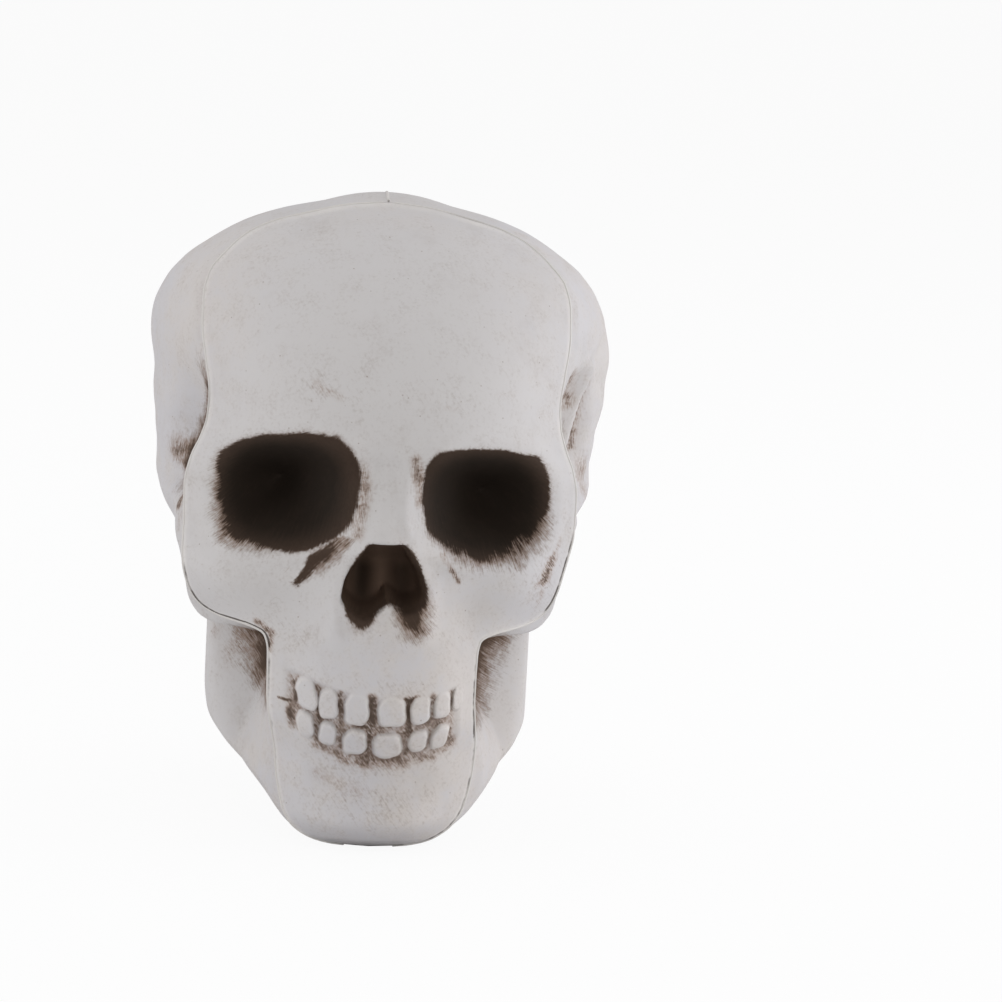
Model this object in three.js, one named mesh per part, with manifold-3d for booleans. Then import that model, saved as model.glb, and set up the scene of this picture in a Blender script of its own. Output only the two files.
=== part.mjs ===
import * as THREE from 'three';
import { mergeVertices } from 'three/addons/utils/BufferGeometryUtils.js';
import Module from 'manifold-3d';

const wasm = await Module();
wasm.setup();

// Halloween skull ornament: a moulded face and two rear halves, pegged and glued edge to edge.
// Millimetres. The face looks along -Y, +Z is up and the foot stands on Z = 0.

// Main sizes: height of the crown, depth of the head behind the ear line, swell of its sides
const CROWN = 133.2;
const BACK_DEPTH = 61;
const SIDE_BULGE = 23.5;

// Mouldings
const WALL = 2;
const SEAM_GAP = 0.4;

// Eye sockets
const ORBIT_X = 21.3;
const ORBIT_Z = 74.6;
const ORBIT_RIGHT_RISE = 1.4;
const ORBIT_HALF_WIDTH = 14.3;
const ORBIT_HALF_HEIGHT = 12.4;
const ORBIT_DEPTH = 20.1;
const ORBIT_SQUARENESS = 2.5;
const ORBIT_SLOPE = 0.1;
const ORBIT_RIM = 0.6;

// Nasal opening and bridge
const NOSE_FLOOR = 49.3;
const NOSE_TOP = 66.2;
const NOSE_SPINE = 4.4;
const NOSE_DEPTH = 12.6;
const NOSTRIL_DEPTH = 3;
const NOSTRIL_X = 4.6;
const NOSTRIL_HALF_WIDTH = 2.6;
const NOSTRIL_Z = 57.5;
const NOSTRIL_HALF_HEIGHT = 6;
const NOSE_EDGE = 1.3;
const NOSE_LIP = 1.8;
const NOSE_LIP_LOW = 44;
const NOSE_LIP_HIGH = 62;
const NOSE_LIP_FADE = 6;
const BRIDGE_RISE = 6;
const BRIDGE_HALF_WIDTH = 4.4;

// Tooth rows
const TOOTH_RISE = 0.95;
const GAP_SINK = 1.25;
const UPPER_ROW_Z = 31.7;
const LOWER_ROW_Z = 24.4;
const ROW_MIDDLE_X = -1.2;
const ROW_CURVE = 0.0105;
const TOOTH_SQUARENESS = 2.9;
const GUM_ABOVE = 6.6;
const GUM_BELOW = 6.4;
const MOUTH_HALF_WIDTH = 19;

// Brow, cheeks and chin
const BROW_RISE = 1.6;
const BROW_Z = 84.5;
const CHEEK_RISE = 3.4;
const CHEEK_HOLLOW = 2.6;
const MUZZLE_RISE = 1.5;
const CHIN_CREASE = 1.5;
const CHIN_RISE = 1.2;
const TEMPLE_DIP = 1.2;
const TEMPLE_DIP_X = 36;
const TEMPLE_DIP_Z = 97;

// Sides of the head
const TEMPLE_HOLLOW = 7.5;
const TEMPLE_Y = -17;
const TEMPLE_Z = 83;
const TEMPLE_HALF_HEIGHT = 12.5;
const ARCH_RISE = 2.8;
const ARCH_Z = 65.5;
const EAR_RISE = 1.6;
const EAR_Y = 11;
const EAR_Z = 73.5;
const UNDER_ARCH_HOLLOW = 7;
const CHEEK_LIP = 1.2;
const CHEEK_LIP_Z = 48.5;
const CHEEK_LIP_Y = -28;
const CHEEK_DROP = 2.6;
const CHEEK_UNDER = 45;
const JAW_BACK_Y = 6.5;
const BRANCH_EDGE = 6;
const BRANCH_TOP = 50;
const BRANCH_FADE = 8;

// Pegs along the middle of the back
const PEG_RADIUS = 1.6;
const PEG_LENGTH = 5;
const PEG_CLEARANCE = 0.3;
const BOSS_WALL = 1.6;
const BOSS_INSET = 9;

// Tabs that guide the face into the rear halves
const TAB_WIDTH = 5;
const TAB_THICKNESS = 1.4;
const TAB_REACH = 5;
const TAB_CLEARANCE = 0.5;

// Facets
const FACE_COLUMNS = 36;
const FACE_INNER_COLUMNS = 18;
const REAR_COLUMNS = 14;

// Heights above the brow and depths behind the ear line, as shares of the main sizes
const FOREHEAD_FOOT = 90;
const tall = (share) => FOREHEAD_FOOT + share * (CROWN - FOREHEAD_FOOT);
const deep = (share) => share * BACK_DEPTH;

// Half width of the face at each height, measured along its seam
const FACE_OUTLINE = [
  [0, 0], [0.8, 8], [2.7, 13.5], [5.2, 17], [9, 19.3], [16.8, 20.9], [30, 21.8], [42, 22], [45.2, 22.8],
  [46.6, 26], [47.4, 32.4], [48.6, 35.8], [51, 38.1], [54.3, 39.5], [58.5, 40.5], [66, 41.5], [74, 41.7],
  [80, 40.6], [84.5, 38.8], [89, 37.5], [tall(0.081), 37.2], [tall(0.231), 38.1], [tall(0.417), 39.2],
  [tall(0.532), 39.2], [tall(0.648), 38.1], [tall(0.741), 35], [tall(0.833), 30.3], [tall(0.903), 24],
  [tall(0.949), 16.3], [tall(0.984), 8.6], [CROWN, 0],
];

// Depth of the face in front of the ear line at each height, along its middle
const FACE_PROFILE = [
  [0, 42], [3, 47.5], [8, 50.5], [14, 50.3], [20, 50], [29, 52.5], [38, 52], [46, 50.3], [54, 48], [64, 46],
  [74, 45.8], [82, 47.5], [88, 49.3], [tall(0.093), 48.8], [tall(0.278), 45.6], [tall(0.463), 40.3],
  [tall(0.648), 32.5], [tall(0.787), 24.8], [tall(0.914), 15.5], [CROWN, 3],
];

// How far the face falls back at each height, over the half width beside it
const FACE_DROP = [
  [0, 9], [8, 12], [20, 13], [30, 14], [46, 15], [54, 17], [66, 17], [76, 17.5], [85, 22],
  [tall(0.069), 26], [tall(0.278), 24], [tall(0.509), 21.5], [tall(0.694), 19.5], [tall(0.903), 26],
  [CROWN, 27],
];
const FACE_REACH = [[0, 22], [8, 22], [30, 25], [38, 26], [46, 30.5], [54, 38], [62, 41], [CROWN, 41]];

// Half width of the nasal opening at each height
const NOSE_OUTLINE = [[44, 8.2], [49, 8.9], [54, 9.3], [58, 8.4], [63, 5.6], [66.2, 3.9], [68, 3.6]];

// Tooth columns: place along the row, half width, half height of the upper and of the lower tooth
const TEETH = [
  [-13.4, 2.1, 3.2, 3], [-9.1, 2.15, 3, 2.8], [-3.2, 2.8, 3.4, 3.1], [3.9, 3.35, 3.15, 3.1],
  [10.1, 2.3, 2.9, 2.7], [14.8, 2, 2.7, 2.8], [18.4, 1.4, 2.5, 2],
];

// Back line of the head: seam height, depth behind the ear line, height of the same row at the back
const BACK_LINE = [
  [0, -42, 0], [1, -32, -2.2], [3, -6, -2.6], [6, deep(0.23), -2.6], [9, deep(0.426), -2.2],
  [12.5, deep(0.525), 1.5], [17, deep(0.566), 8], [25, deep(0.59), 18], [36, deep(0.615), 31],
  [44, deep(0.672), 41], [47.5, deep(0.738), 46.5], [52, deep(0.828), 53.5], [60, deep(0.918), 62],
  [70, deep(0.979), 72.5], [80, BACK_DEPTH, 83.5], [tall(0.069), deep(0.987), tall(0.093)],
  [tall(0.347), deep(0.918), tall(0.347)], [tall(0.509), deep(0.828), tall(0.509)],
  [tall(0.637), deep(0.721), tall(0.644)], [tall(0.741), deep(0.598), tall(0.764)],
  [tall(0.833), deep(0.467), tall(0.863)], [tall(0.903), deep(0.328), tall(0.938)],
  [tall(0.949), deep(0.205), tall(0.986)], [tall(0.984), deep(0.074), tall(1.032)], [CROWN, -3, CROWN],
];

// Share of the swell behind the seam at each height
const SIDE_SWELL = [
  [0, 0], [44, 0], [47, 0.043], [52, 0.255], [58, 0.298], [64, 0.298], [72, 0.426], [80, 0.715],
  [FOREHEAD_FOOT, 0.987], [tall(0.231), 1], [tall(0.417), 0.911], [tall(0.556), 0.732],
  [tall(0.671), 0.532], [tall(0.787), 0.332], [tall(0.903), 0.17], [tall(0.949), 0.106], [CROWN, 0],
];

// Jaw branch seen from the side: its lower edge, its half width and its front edge
const JAW_LOW = [[-44, 8], [-36, 8.5], [-28, 10.5], [-20, 13.5], [-12, 17], [-5, 21.5], [0, 27], [5, 34]];
const JAW_WIDE = [[-42, 20.8], [-34, 24.4], [-26, 28.5], [-18, 32.4], [-11, 34.8], [-4, 35.4], [8, 34]];
const JAW_FRONT = [[10, -30], [24, -21], [34, -17.5], [46, -15], [58, -12]];

// Bands of rows from chin to crown: last height, rows up to it
const FACE_BANDS = [
  [3, 4], [20, 7], [38, 15], [45, 4], [49.5, 5], [56, 4], [68, 7], [FOREHEAD_FOOT, 11], [tall(0.833), 9],
  [tall(0.984), 4], [CROWN, 1],
];
const REAR_BANDS = [
  [3, 4], [20, 6], [45, 7], [49.5, 5], [56, 4], [FOREHEAD_FOOT, 9], [tall(0.833), 9], [tall(0.984), 4],
  [CROWN, 1],
];

// Seam heights of the mid-line pegs and of the guide tabs
const PEG_ROWS = [16, 50, 80, tall(0.532)];
const TAB_ROWS = [0.5, 66, tall(0.96)];

const BONE = new THREE.Color(0.73, 0.71, 0.7);

function through(points) {
  const last = points.length - 1;
  const gap = (i) => points[i + 1][0] - points[i][0];
  const step = (i, k) => (points[i + 1][k] - points[i][k]) / gap(i);
  const slope = (i, k) => {
    if (i === 0) return step(0, k);
    if (i === last) return step(last - 1, k);
    const before = step(i - 1, k);
    const after = step(i, k);
    return before * after > 0 ? (2 * before * after) / (before + after) : 0;
  };
  return (at, k = 1) => {
    const t = THREE.MathUtils.clamp(at, points[0][0], points[last][0]);
    let i = 0;
    while (i < last - 1 && t >= points[i + 1][0]) i += 1;
    const h = gap(i);
    const s = (t - points[i][0]) / h;
    const from = (1 + 2 * s) * (1 - s) ** 2 * points[i][k] + s * (1 - s) ** 2 * h * slope(i, k);
    const to = s * s * (3 - 2 * s) * points[i + 1][k] + s * s * (s - 1) * h * slope(i + 1, k);
    return from + to;
  };
}

function ramp(low, high, value) {
  const t = THREE.MathUtils.clamp((value - low) / (high - low), 0, 1);
  return t * t * (3 - 2 * t);
}

function hump(value, middle, reach) {
  return Math.exp(-(((value - middle) / reach) ** 2));
}

const faceWidth = through(FACE_OUTLINE);
const faceProfile = through(FACE_PROFILE);
const faceDrop = through(FACE_DROP);
const faceReach = through(FACE_REACH);
const noseWidth = through(NOSE_OUTLINE);
const backLine = through(BACK_LINE);
const sideSwell = through(SIDE_SWELL);
const jawLow = through(JAW_LOW);
const jawWide = through(JAW_WIDE);
const jawFront = through(JAW_FRONT);

// 0 in the middle of an eye socket, 1 on its edge
function orbitDistance(x, z) {
  const dx = Math.abs(x) - ORBIT_X;
  const dz = z - ORBIT_Z - (x < 0 ? ORBIT_RIGHT_RISE : 0) + ORBIT_SLOPE * dx;
  const across = Math.abs(dx / ORBIT_HALF_WIDTH) ** ORBIT_SQUARENESS;
  const up = Math.abs(dz / ORBIT_HALF_HEIGHT) ** ORBIT_SQUARENESS;
  return (across + up) ** (1 / ORBIT_SQUARENESS);
}

// 1 inside the nasal opening, whose floor has two lobes beside a spine
function noseInside(x, z) {
  const soft = NOSE_EDGE;
  const lobe = Math.sin(Math.PI * Math.min(Math.abs(x) / (noseWidth(NOSE_FLOOR) + 0.8), 1));
  const side = ramp(-soft, soft, noseWidth(z) - Math.abs(x));
  const low = ramp(-soft, soft, z - NOSE_FLOOR - NOSE_SPINE * (1 - lobe));
  const high = ramp(-soft, soft, NOSE_TOP - z);
  return side * low * high;
}

// Relief of the mouth: teeth in two rows that rise towards the cheeks, with sunk gaps between them
function teeth(x, z) {
  let bump = 0;
  for (const [along, halfWidth, upperHalf, lowerHalf] of TEETH) {
    const dx = x - ROW_MIDDLE_X - along;
    const lift = ROW_CURVE * along * along;
    const rows = [[UPPER_ROW_Z, upperHalf], [LOWER_ROW_Z + 0.3 * lift, lowerHalf]];
    for (const [rowZ, halfHeight] of rows) {
      const across = Math.abs(dx / halfWidth) ** TOOTH_SQUARENESS;
      const rise = Math.abs((z - rowZ - lift) / halfHeight) ** TOOTH_SQUARENESS;
      bump = Math.max(bump, 1 - ramp(0.66, 1.1, (across + rise) ** (1 / TOOTH_SQUARENESS)));
    }
  }
  const bite = (UPPER_ROW_Z + LOWER_ROW_Z) / 2 + ROW_CURVE * (x - ROW_MIDDLE_X) ** 2;
  const band = ramp(-1, 1, bite + GUM_ABOVE - z) * ramp(-1, 1, z - bite + GUM_BELOW);
  const width = 1 - ramp(MOUTH_HALF_WIDTH - 3, MOUTH_HALF_WIDTH, Math.abs(x - ROW_MIDDLE_X / 2));
  const root = 1 - ramp(-1, 3.5, z - bite - GUM_ABOVE + 2);
  return width * (TOOTH_RISE * bump * root - GAP_SINK * (1 - bump) * band);
}

// Depth of the face at a point of its front view
function faceDepth(x, z) {
  const ax = Math.abs(x);
  let depth = faceProfile(z) - faceDrop(z) * (ax / faceReach(z)) ** 2.3;
  const browLine = BROW_Z + 0.06 * ax - 0.004 * x * x;
  depth += BROW_RISE * hump(z, browLine, 4) * ramp(3, 12, ax) * (1 - ramp(28, 37, ax));
  const bridge = BRIDGE_HALF_WIDTH + 0.32 * THREE.MathUtils.clamp(ORBIT_Z + 5 - z, 0, 16);
  const bridgeEnds = (1 - ramp(NOSE_TOP + 1.3, NOSE_TOP + 17, z)) * ramp(NOSE_TOP - 6, NOSE_TOP, z);
  depth += BRIDGE_RISE * hump(x, 0, bridge) * bridgeEnds;
  const lipLow = ramp(NOSE_LIP_LOW, NOSE_LIP_LOW + NOSE_LIP_FADE, z);
  const lipHigh = 1 - ramp(NOSE_LIP_HIGH, NOSE_LIP_HIGH + NOSE_LIP_FADE, z);
  depth += NOSE_LIP * hump(ax, noseWidth(z) + 1.5, 2.6) * lipLow * lipHigh;
  depth += CHEEK_RISE * hump(ax, 33.5, 8.5) * hump(z, 56.5, 6.5);
  depth -= CHEEK_HOLLOW * hump(ax, 18.5, 6.5) * hump(z, 50.5, 6);
  depth += MUZZLE_RISE * hump(z, 31, 13) * (1 - ramp(12, 21, ax));
  depth -= CHIN_CREASE * hump(z, 15.5, 4.2) * (1 - ramp(8, 18, ax));
  depth += CHIN_RISE * hump(z, 7, 4.5) * hump(ax, 6, 7);
  depth -= TEMPLE_DIP * hump(ax, TEMPLE_DIP_X, 7) * hump(z, TEMPLE_DIP_Z, 9);
  const orbit = orbitDistance(x, z);
  depth += ORBIT_RIM * hump(orbit, 1.16, 0.13);
  depth -= ORBIT_DEPTH * (1 - ramp(-0.25, 1.03, orbit)) ** 0.8;
  const nostril = hump(ax, NOSTRIL_X, NOSTRIL_HALF_WIDTH) * hump(z, NOSTRIL_Z, NOSTRIL_HALF_HEIGHT);
  depth -= noseInside(x, z) * (NOSE_DEPTH + NOSTRIL_DEPTH * nostril);
  return depth + teeth(x, z);
}

// The same face seen from inside, one wall thickness under its skin
function faceInnerDepth(x, z) {
  let depth = faceDepth(x, z) - WALL;
  for (const share of [0.5, 0.85, 1]) {
    const sink = WALL * Math.sqrt(1 - share * share);
    for (let turn = 0; turn < 12; turn += 1) {
      const px = x + share * WALL * Math.cos((turn * Math.PI) / 6);
      const pz = z + share * WALL * Math.sin((turn * Math.PI) / 6);
      if (pz <= 0 || pz >= CROWN || Math.abs(px) > faceWidth(pz)) continue;
      depth = Math.min(depth, faceDepth(px, pz) - sink);
    }
  }
  return depth;
}

// 1 on the jaw branch and the jaw body, seen from the side
function jawInside(y, z) {
  const low = ramp(-6.5, 5, z - jawLow(y));
  const back = 1 - ramp(-6.5, 6.5, y - JAW_BACK_Y - 0.06 * (z - 25));
  const body = 1 - ramp(10, 36, z);
  const high = 1 - ramp(BRANCH_TOP, BRANCH_TOP + BRANCH_FADE, z);
  const branch = ramp(-BRANCH_EDGE, BRANCH_EDGE, y - jawFront(z)) * high;
  return low * back * Math.max(body, branch);
}

// Half width of the head behind the seam; share runs from the seam to the back line
function sideWidth(share, y, z, seamX, seamZ) {
  const close = Math.sqrt(Math.max(0, 1 - share ** 2.1));
  let x = close * (seamX + SIDE_BULGE * sideSwell(seamZ) * (1 - (1 - share) ** 2.2));
  x -= TEMPLE_HOLLOW * hump(y, TEMPLE_Y, 8.5) * hump(z, TEMPLE_Z, TEMPLE_HALF_HEIGHT) * close;
  const archLine = ARCH_Z + 0.16 * (y - CHEEK_LIP_Y);
  x += ARCH_RISE * hump(z, archLine, 4.6) * ramp(-36, -22, y) * (1 - ramp(2, 20, y)) * close;
  x += EAR_RISE * hump(y, EAR_Y, 8) * hump(z, EAR_Z, 6);
  x -= UNDER_ARCH_HOLLOW * hump(z, 54.5, 5.5) * hump(y, -8, 10.5) * close;
  x += CHEEK_LIP * hump(seamZ, CHEEK_LIP_Z, 4) * hump(y, CHEEK_LIP_Y, 6.5);
  const jaw = jawInside(y, z) * Math.min(1, close * 3);
  x += Math.max(0, jawWide(y) - x) * jaw;
  return seamX + (x - seamX) * ramp(0, 0.055, share);
}

// How far the cheek hangs below its seam, where the seam turns in under it
function cheekDrop(share, y, seamZ) {
  const turn = Math.max(0, faceWidth(seamZ + 0.5) - faceWidth(seamZ - 0.5));
  const above = seamZ - CHEEK_UNDER;
  const hang = (turn / Math.hypot(turn, 1)) * ramp(-1, 1, above) * (1 - ramp(6, 12, above));
  return CHEEK_DROP * hang * hump(y, CHEEK_LIP_Y, 9) * ramp(0, 0.055, share);
}

// Inward step of one wall thickness at each point of an open line
function inset(line, distance, side) {
  return line.map((p, i) => {
    const next = line[Math.min(i + 1, line.length - 1)];
    const along = next.clone().sub(line[Math.max(i - 1, 0)]).normalize();
    return new THREE.Vector2(p.x - side * along.y * distance, p.y + side * along.x * distance);
  });
}

// The seam and the back line at each row, with the inner edges of their rims
function rowsOf(bands) {
  const heights = [0];
  for (const [to, rows] of bands) {
    const from = heights.at(-1);
    for (let i = 1; i <= rows; i += 1) heights.push(from + ((to - from) * i) / rows);
  }
  const seam = heights.map((z) => new THREE.Vector2(faceWidth(z), z));
  const seamInner = inset(seam, WALL, 1);
  seamInner[0].set(0, WALL);
  seamInner.at(-1).set(0, CROWN - WALL);
  const depth = heights.map((z) => faceDepth(faceWidth(z), z));
  const back = heights.map((z) => new THREE.Vector2(backLine(z, 1), Math.max(0, backLine(z, 2))));
  // The rim leans back where the face is flat towards its edge, so that the wall keeps its thickness
  const lean = seamInner.map((p, j) => {
    const rise = (faceDepth(p.x, p.y) - depth[j]) / WALL;
    return WALL * (Math.hypot(1, rise) - rise);
  });
  const backInner = inset(back, WALL, 1);
  return { heights, seam, seamInner, depth, lean, back, backInner, top: heights.length - 1 };
}

const faceRows = rowsOf(FACE_BANDS);
const rearRows = rowsOf(REAR_BANDS);

// Triangles between two rows of points, split along the shorter diagonal; a row of one point is a tip
function stitch(triangles, lower, upper, flip) {
  const add = (a, b, c) => triangles.push(a, flip ? c : b, flip ? b : c);
  const count = Math.max(lower.length, upper.length) - 1;
  for (let i = 0; i < count; i += 1) {
    const [a, b] = lower.length > 1 ? [lower[i], lower[i + 1]] : [lower[0], lower[0]];
    const [d, c] = upper.length > 1 ? [upper[i], upper[i + 1]] : [upper[0], upper[0]];
    if (a === b) add(a, c, d);
    else if (c === d) add(a, b, c);
    else if (a.distanceTo(c) <= b.distanceTo(d)) {
      add(a, b, c);
      add(a, c, d);
    } else {
      add(a, b, d);
      add(b, c, d);
    }
  }
}

// A moulding is an outer skin, an inner skin and the rims between their first and last columns
function moulding(outer, inner, mirrored) {
  const triangles = [];
  for (let j = 0; j < outer.length - 1; j += 1) {
    const first = (row) => [inner[row][0], outer[row][0]];
    const last = (row) => [outer[row].at(-1), inner[row].at(-1)];
    stitch(triangles, outer[j], outer[j + 1], mirrored);
    stitch(triangles, inner[j], inner[j + 1], !mirrored);
    stitch(triangles, last(j), last(j + 1), mirrored);
    stitch(triangles, first(j), first(j + 1), mirrored);
  }
  return new THREE.BufferGeometry().setFromPoints(triangles);
}

function solid(geometry) {
  const bare = new THREE.BufferGeometry().setAttribute('position', geometry.getAttribute('position'));
  bare.setIndex(geometry.index);
  const merged = mergeVertices(bare, 1e-4);
  const triVerts = new Uint32Array(merged.index.array);
  const vertProperties = new Float32Array(merged.attributes.position.array);
  return new wasm.Manifold(new wasm.Mesh({ numProp: 3, vertProperties, triVerts }));
}

function piece(name, body, roughness) {
  const mesh = body.getMesh();
  const geometry = new THREE.BufferGeometry();
  geometry.setAttribute('position', new THREE.BufferAttribute(mesh.vertProperties, 3));
  geometry.setIndex(new THREE.BufferAttribute(mesh.triVerts, 1));
  geometry.computeVertexNormals();
  const material = new THREE.MeshStandardMaterial({ color: BONE, roughness, metalness: 0 });
  const made = new THREE.Mesh(geometry, material);
  made.name = name;
  return made;
}

function faceSkin(columns, line, lean, depthOf) {
  const { depth, top } = faceRows;
  return line.map((edge, j) => {
    const rim = lean[j] - depth[j];
    if (j === 0 || j === top) return [new THREE.Vector3(0, rim, edge.y)];
    const row = [];
    for (let i = 0; i <= columns; i += 1) {
      const x = edge.x * ((2 * i) / columns - 1);
      const onEdge = i === 0 || i === columns;
      row.push(new THREE.Vector3(x, onEdge ? rim : -depthOf(x, edge.y), edge.y));
    }
    return row;
  });
}

// Columns stand closer together at the seam and at the back
const columnShare = (t) => 0.4 * t + 0.6 * ramp(0, 1, t);

// Rear rows run from the seam to the middle of the back, half a gap from the middle plane
function rearSkin(side, wall) {
  const { heights, seam, seamInner, depth, lean, backInner, top } = rearRows;
  const middle = SEAM_GAP / 2;
  const surface = (j, share) => {
    const y0 = SEAM_GAP - depth[j];
    const y = y0 + (backLine(heights[j], 1) - y0) * share;
    const level = heights[j] + (backLine(heights[j], 2) - heights[j]) * share;
    const x = sideWidth(share, y, level, seam[j].x, heights[j]);
    const z = level - cheekDrop(share, y, heights[j]);
    return new THREE.Vector3(Math.max(x, middle), y, Math.max(0, z));
  };
  const inward = (j, share) => {
    const across = surface(j, Math.min(share + 0.02, 1)).sub(surface(j, Math.max(share - 0.02, 0)));
    const up = surface(Math.min(j + 1, top), share).sub(surface(Math.max(j - 1, 0), share));
    return across.cross(up).normalize().multiplyScalar(-wall);
  };
  return heights.map((z, j) => {
    const columns = j === 0 || j === top ? 0 : REAR_COLUMNS;
    const row = [];
    for (let i = 0; i <= columns; i += 1) {
      const share = columnShare(i / REAR_COLUMNS);
      const point = surface(j, share);
      if (wall > 0) {
        point.add(inward(j, share));
        if (i === 0) point.set(seamInner[j].x, SEAM_GAP + lean[j] - depth[j], seamInner[j].y);
        if (i === REAR_COLUMNS) point.set(middle, backInner[j].x, backInner[j].y);
        point.x = Math.max(point.x, middle);
        point.z = Math.max(point.z, wall);
      }
      row.push(new THREE.Vector3(side * point.x, point.y, point.z));
    }
    return row;
  });
}

function rod(radius, from, to) {
  const length = from.distanceTo(to);
  const shape = new THREE.CylinderGeometry(radius, radius, length, 10);
  const along = to.clone().sub(from).normalize();
  const turn = new THREE.Quaternion().setFromUnitVectors(new THREE.Vector3(0, 1, 0), along);
  shape.applyQuaternion(turn).translate(...from.clone().add(to).multiplyScalar(0.5));
  return solid(shape);
}

// Half width of the head at a point of its side view
function sideAt(y, z) {
  let low = 0;
  let high = CROWN;
  const rowAt = (seamZ) => {
    const y0 = SEAM_GAP - faceDepth(faceWidth(seamZ), seamZ);
    const share = THREE.MathUtils.clamp((y - y0) / (backLine(seamZ, 1) - y0), 0, 1);
    return { share, z: seamZ + (backLine(seamZ, 2) - seamZ) * share };
  };
  for (let i = 0; i < 40; i += 1) {
    const middle = (low + high) / 2;
    if (rowAt(middle).z < z) low = middle;
    else high = middle;
  }
  return sideWidth(rowAt(low).share, y, z, faceWidth(low), low);
}

// Bosses inside the back: pegs on the left half enter sockets in the right half
function addPegs(leftHalf, rightHalf) {
  const line = inset(rearRows.back, BOSS_INSET, 1);
  const bossRadius = PEG_RADIUS + PEG_CLEARANCE + BOSS_WALL;
  let leftBody = leftHalf;
  let rightBody = rightHalf;
  for (const seamZ of PEG_ROWS) {
    const at = line[rearRows.heights.findIndex((z) => z >= seamZ)];
    let reach = Infinity;
    for (let turn = 0; turn < 8; turn += 1) {
      const angle = (turn * Math.PI) / 4;
      const y = at.x + bossRadius * Math.cos(angle);
      const z = at.y + bossRadius * Math.sin(angle);
      reach = Math.min(reach, sideAt(y, z));
    }
    reach -= 0.6 * WALL;
    const point = (x) => new THREE.Vector3(x, at.x, at.y);
    const socket = rod(PEG_RADIUS + PEG_CLEARANCE, point(0), point(-PEG_LENGTH - PEG_CLEARANCE));
    leftBody = leftBody.add(rod(bossRadius, point(SEAM_GAP / 2), point(reach)));
    leftBody = leftBody.add(rod(PEG_RADIUS, point(BOSS_WALL), point(-PEG_LENGTH)));
    rightBody = rightBody.add(rod(bossRadius, point(-SEAM_GAP / 2), point(-reach))).subtract(socket);
  }
  return [leftBody, rightBody];
}

// Guide tabs run from the wall of the face to just inside the rear halves
function addTabs(body) {
  let made = body;
  const { heights, seam, depth } = faceRows;
  const middle = inset(seam, WALL + TAB_CLEARANCE + TAB_THICKNESS / 2, 1);
  for (const seamZ of TAB_ROWS) {
    const j = heights.findIndex((z) => z >= seamZ);
    const at = middle[j];
    const inward = at.clone().sub(seam[j]).normalize();
    const inner = faceRows.seamInner[j];
    const root = depth[j] + 0.75 * (faceDepth(inner.x, inner.y) - depth[j]);
    const length = root - depth[j] + TAB_REACH;
    for (const side of [1, -1]) {
      const tab = new THREE.BoxGeometry(TAB_THICKNESS, length, TAB_WIDTH);
      tab.rotateY(-Math.atan2(inward.y, side * inward.x));
      tab.translate(side * at.x, length / 2 - root, at.y);
      made = made.add(solid(tab));
    }
  }
  return made;
}

const noLean = faceRows.lean.map(() => 0);
const faceOuter = faceSkin(FACE_COLUMNS, faceRows.seam, noLean, faceDepth);
const faceInner = faceSkin(FACE_INNER_COLUMNS, faceRows.seamInner, faceRows.lean, faceInnerDepth);
const face = addTabs(solid(moulding(faceOuter, faceInner, false)));
const leftShell = solid(moulding(rearSkin(1, 0), rearSkin(1, WALL), false));
const rightShell = solid(moulding(rearSkin(-1, 0), rearSkin(-1, WALL), true));
const [left, right] = addPegs(leftShell, rightShell);

const skull = new THREE.Group();
skull.add(piece('face_shell', face, 0.6));
skull.add(piece('left_rear_shell', left, 0.6));
skull.add(piece('right_rear_shell', right, 0.6));

// The part's origin is under the middle of its depth
const box = new THREE.Box3().setFromObject(skull);
skull.position.y = -(box.min.y + box.max.y) / 2;

export default skull;
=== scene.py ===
import math

import bpy
import numpy as np
from mathutils import Matrix, Vector


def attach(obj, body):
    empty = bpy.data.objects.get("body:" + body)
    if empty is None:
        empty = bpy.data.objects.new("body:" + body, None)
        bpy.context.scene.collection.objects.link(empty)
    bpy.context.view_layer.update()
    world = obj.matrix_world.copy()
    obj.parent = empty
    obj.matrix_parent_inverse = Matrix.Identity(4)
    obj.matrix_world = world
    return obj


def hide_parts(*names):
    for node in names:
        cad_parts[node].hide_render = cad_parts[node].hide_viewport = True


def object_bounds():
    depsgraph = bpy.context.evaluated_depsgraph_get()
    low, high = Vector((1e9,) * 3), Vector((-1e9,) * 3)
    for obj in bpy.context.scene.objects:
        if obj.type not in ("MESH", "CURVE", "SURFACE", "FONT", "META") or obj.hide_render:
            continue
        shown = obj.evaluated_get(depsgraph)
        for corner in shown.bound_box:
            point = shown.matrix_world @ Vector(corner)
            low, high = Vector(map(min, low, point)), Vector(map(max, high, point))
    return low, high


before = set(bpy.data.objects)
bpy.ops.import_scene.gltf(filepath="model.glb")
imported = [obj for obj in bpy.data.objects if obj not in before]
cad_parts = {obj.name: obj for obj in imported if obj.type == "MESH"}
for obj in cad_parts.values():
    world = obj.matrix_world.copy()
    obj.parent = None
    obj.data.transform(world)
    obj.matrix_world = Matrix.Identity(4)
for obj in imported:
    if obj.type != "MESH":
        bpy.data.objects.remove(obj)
cadLow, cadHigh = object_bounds()
mm = 0.001
print("frame:", ", ".join(sorted(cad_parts)))


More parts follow.
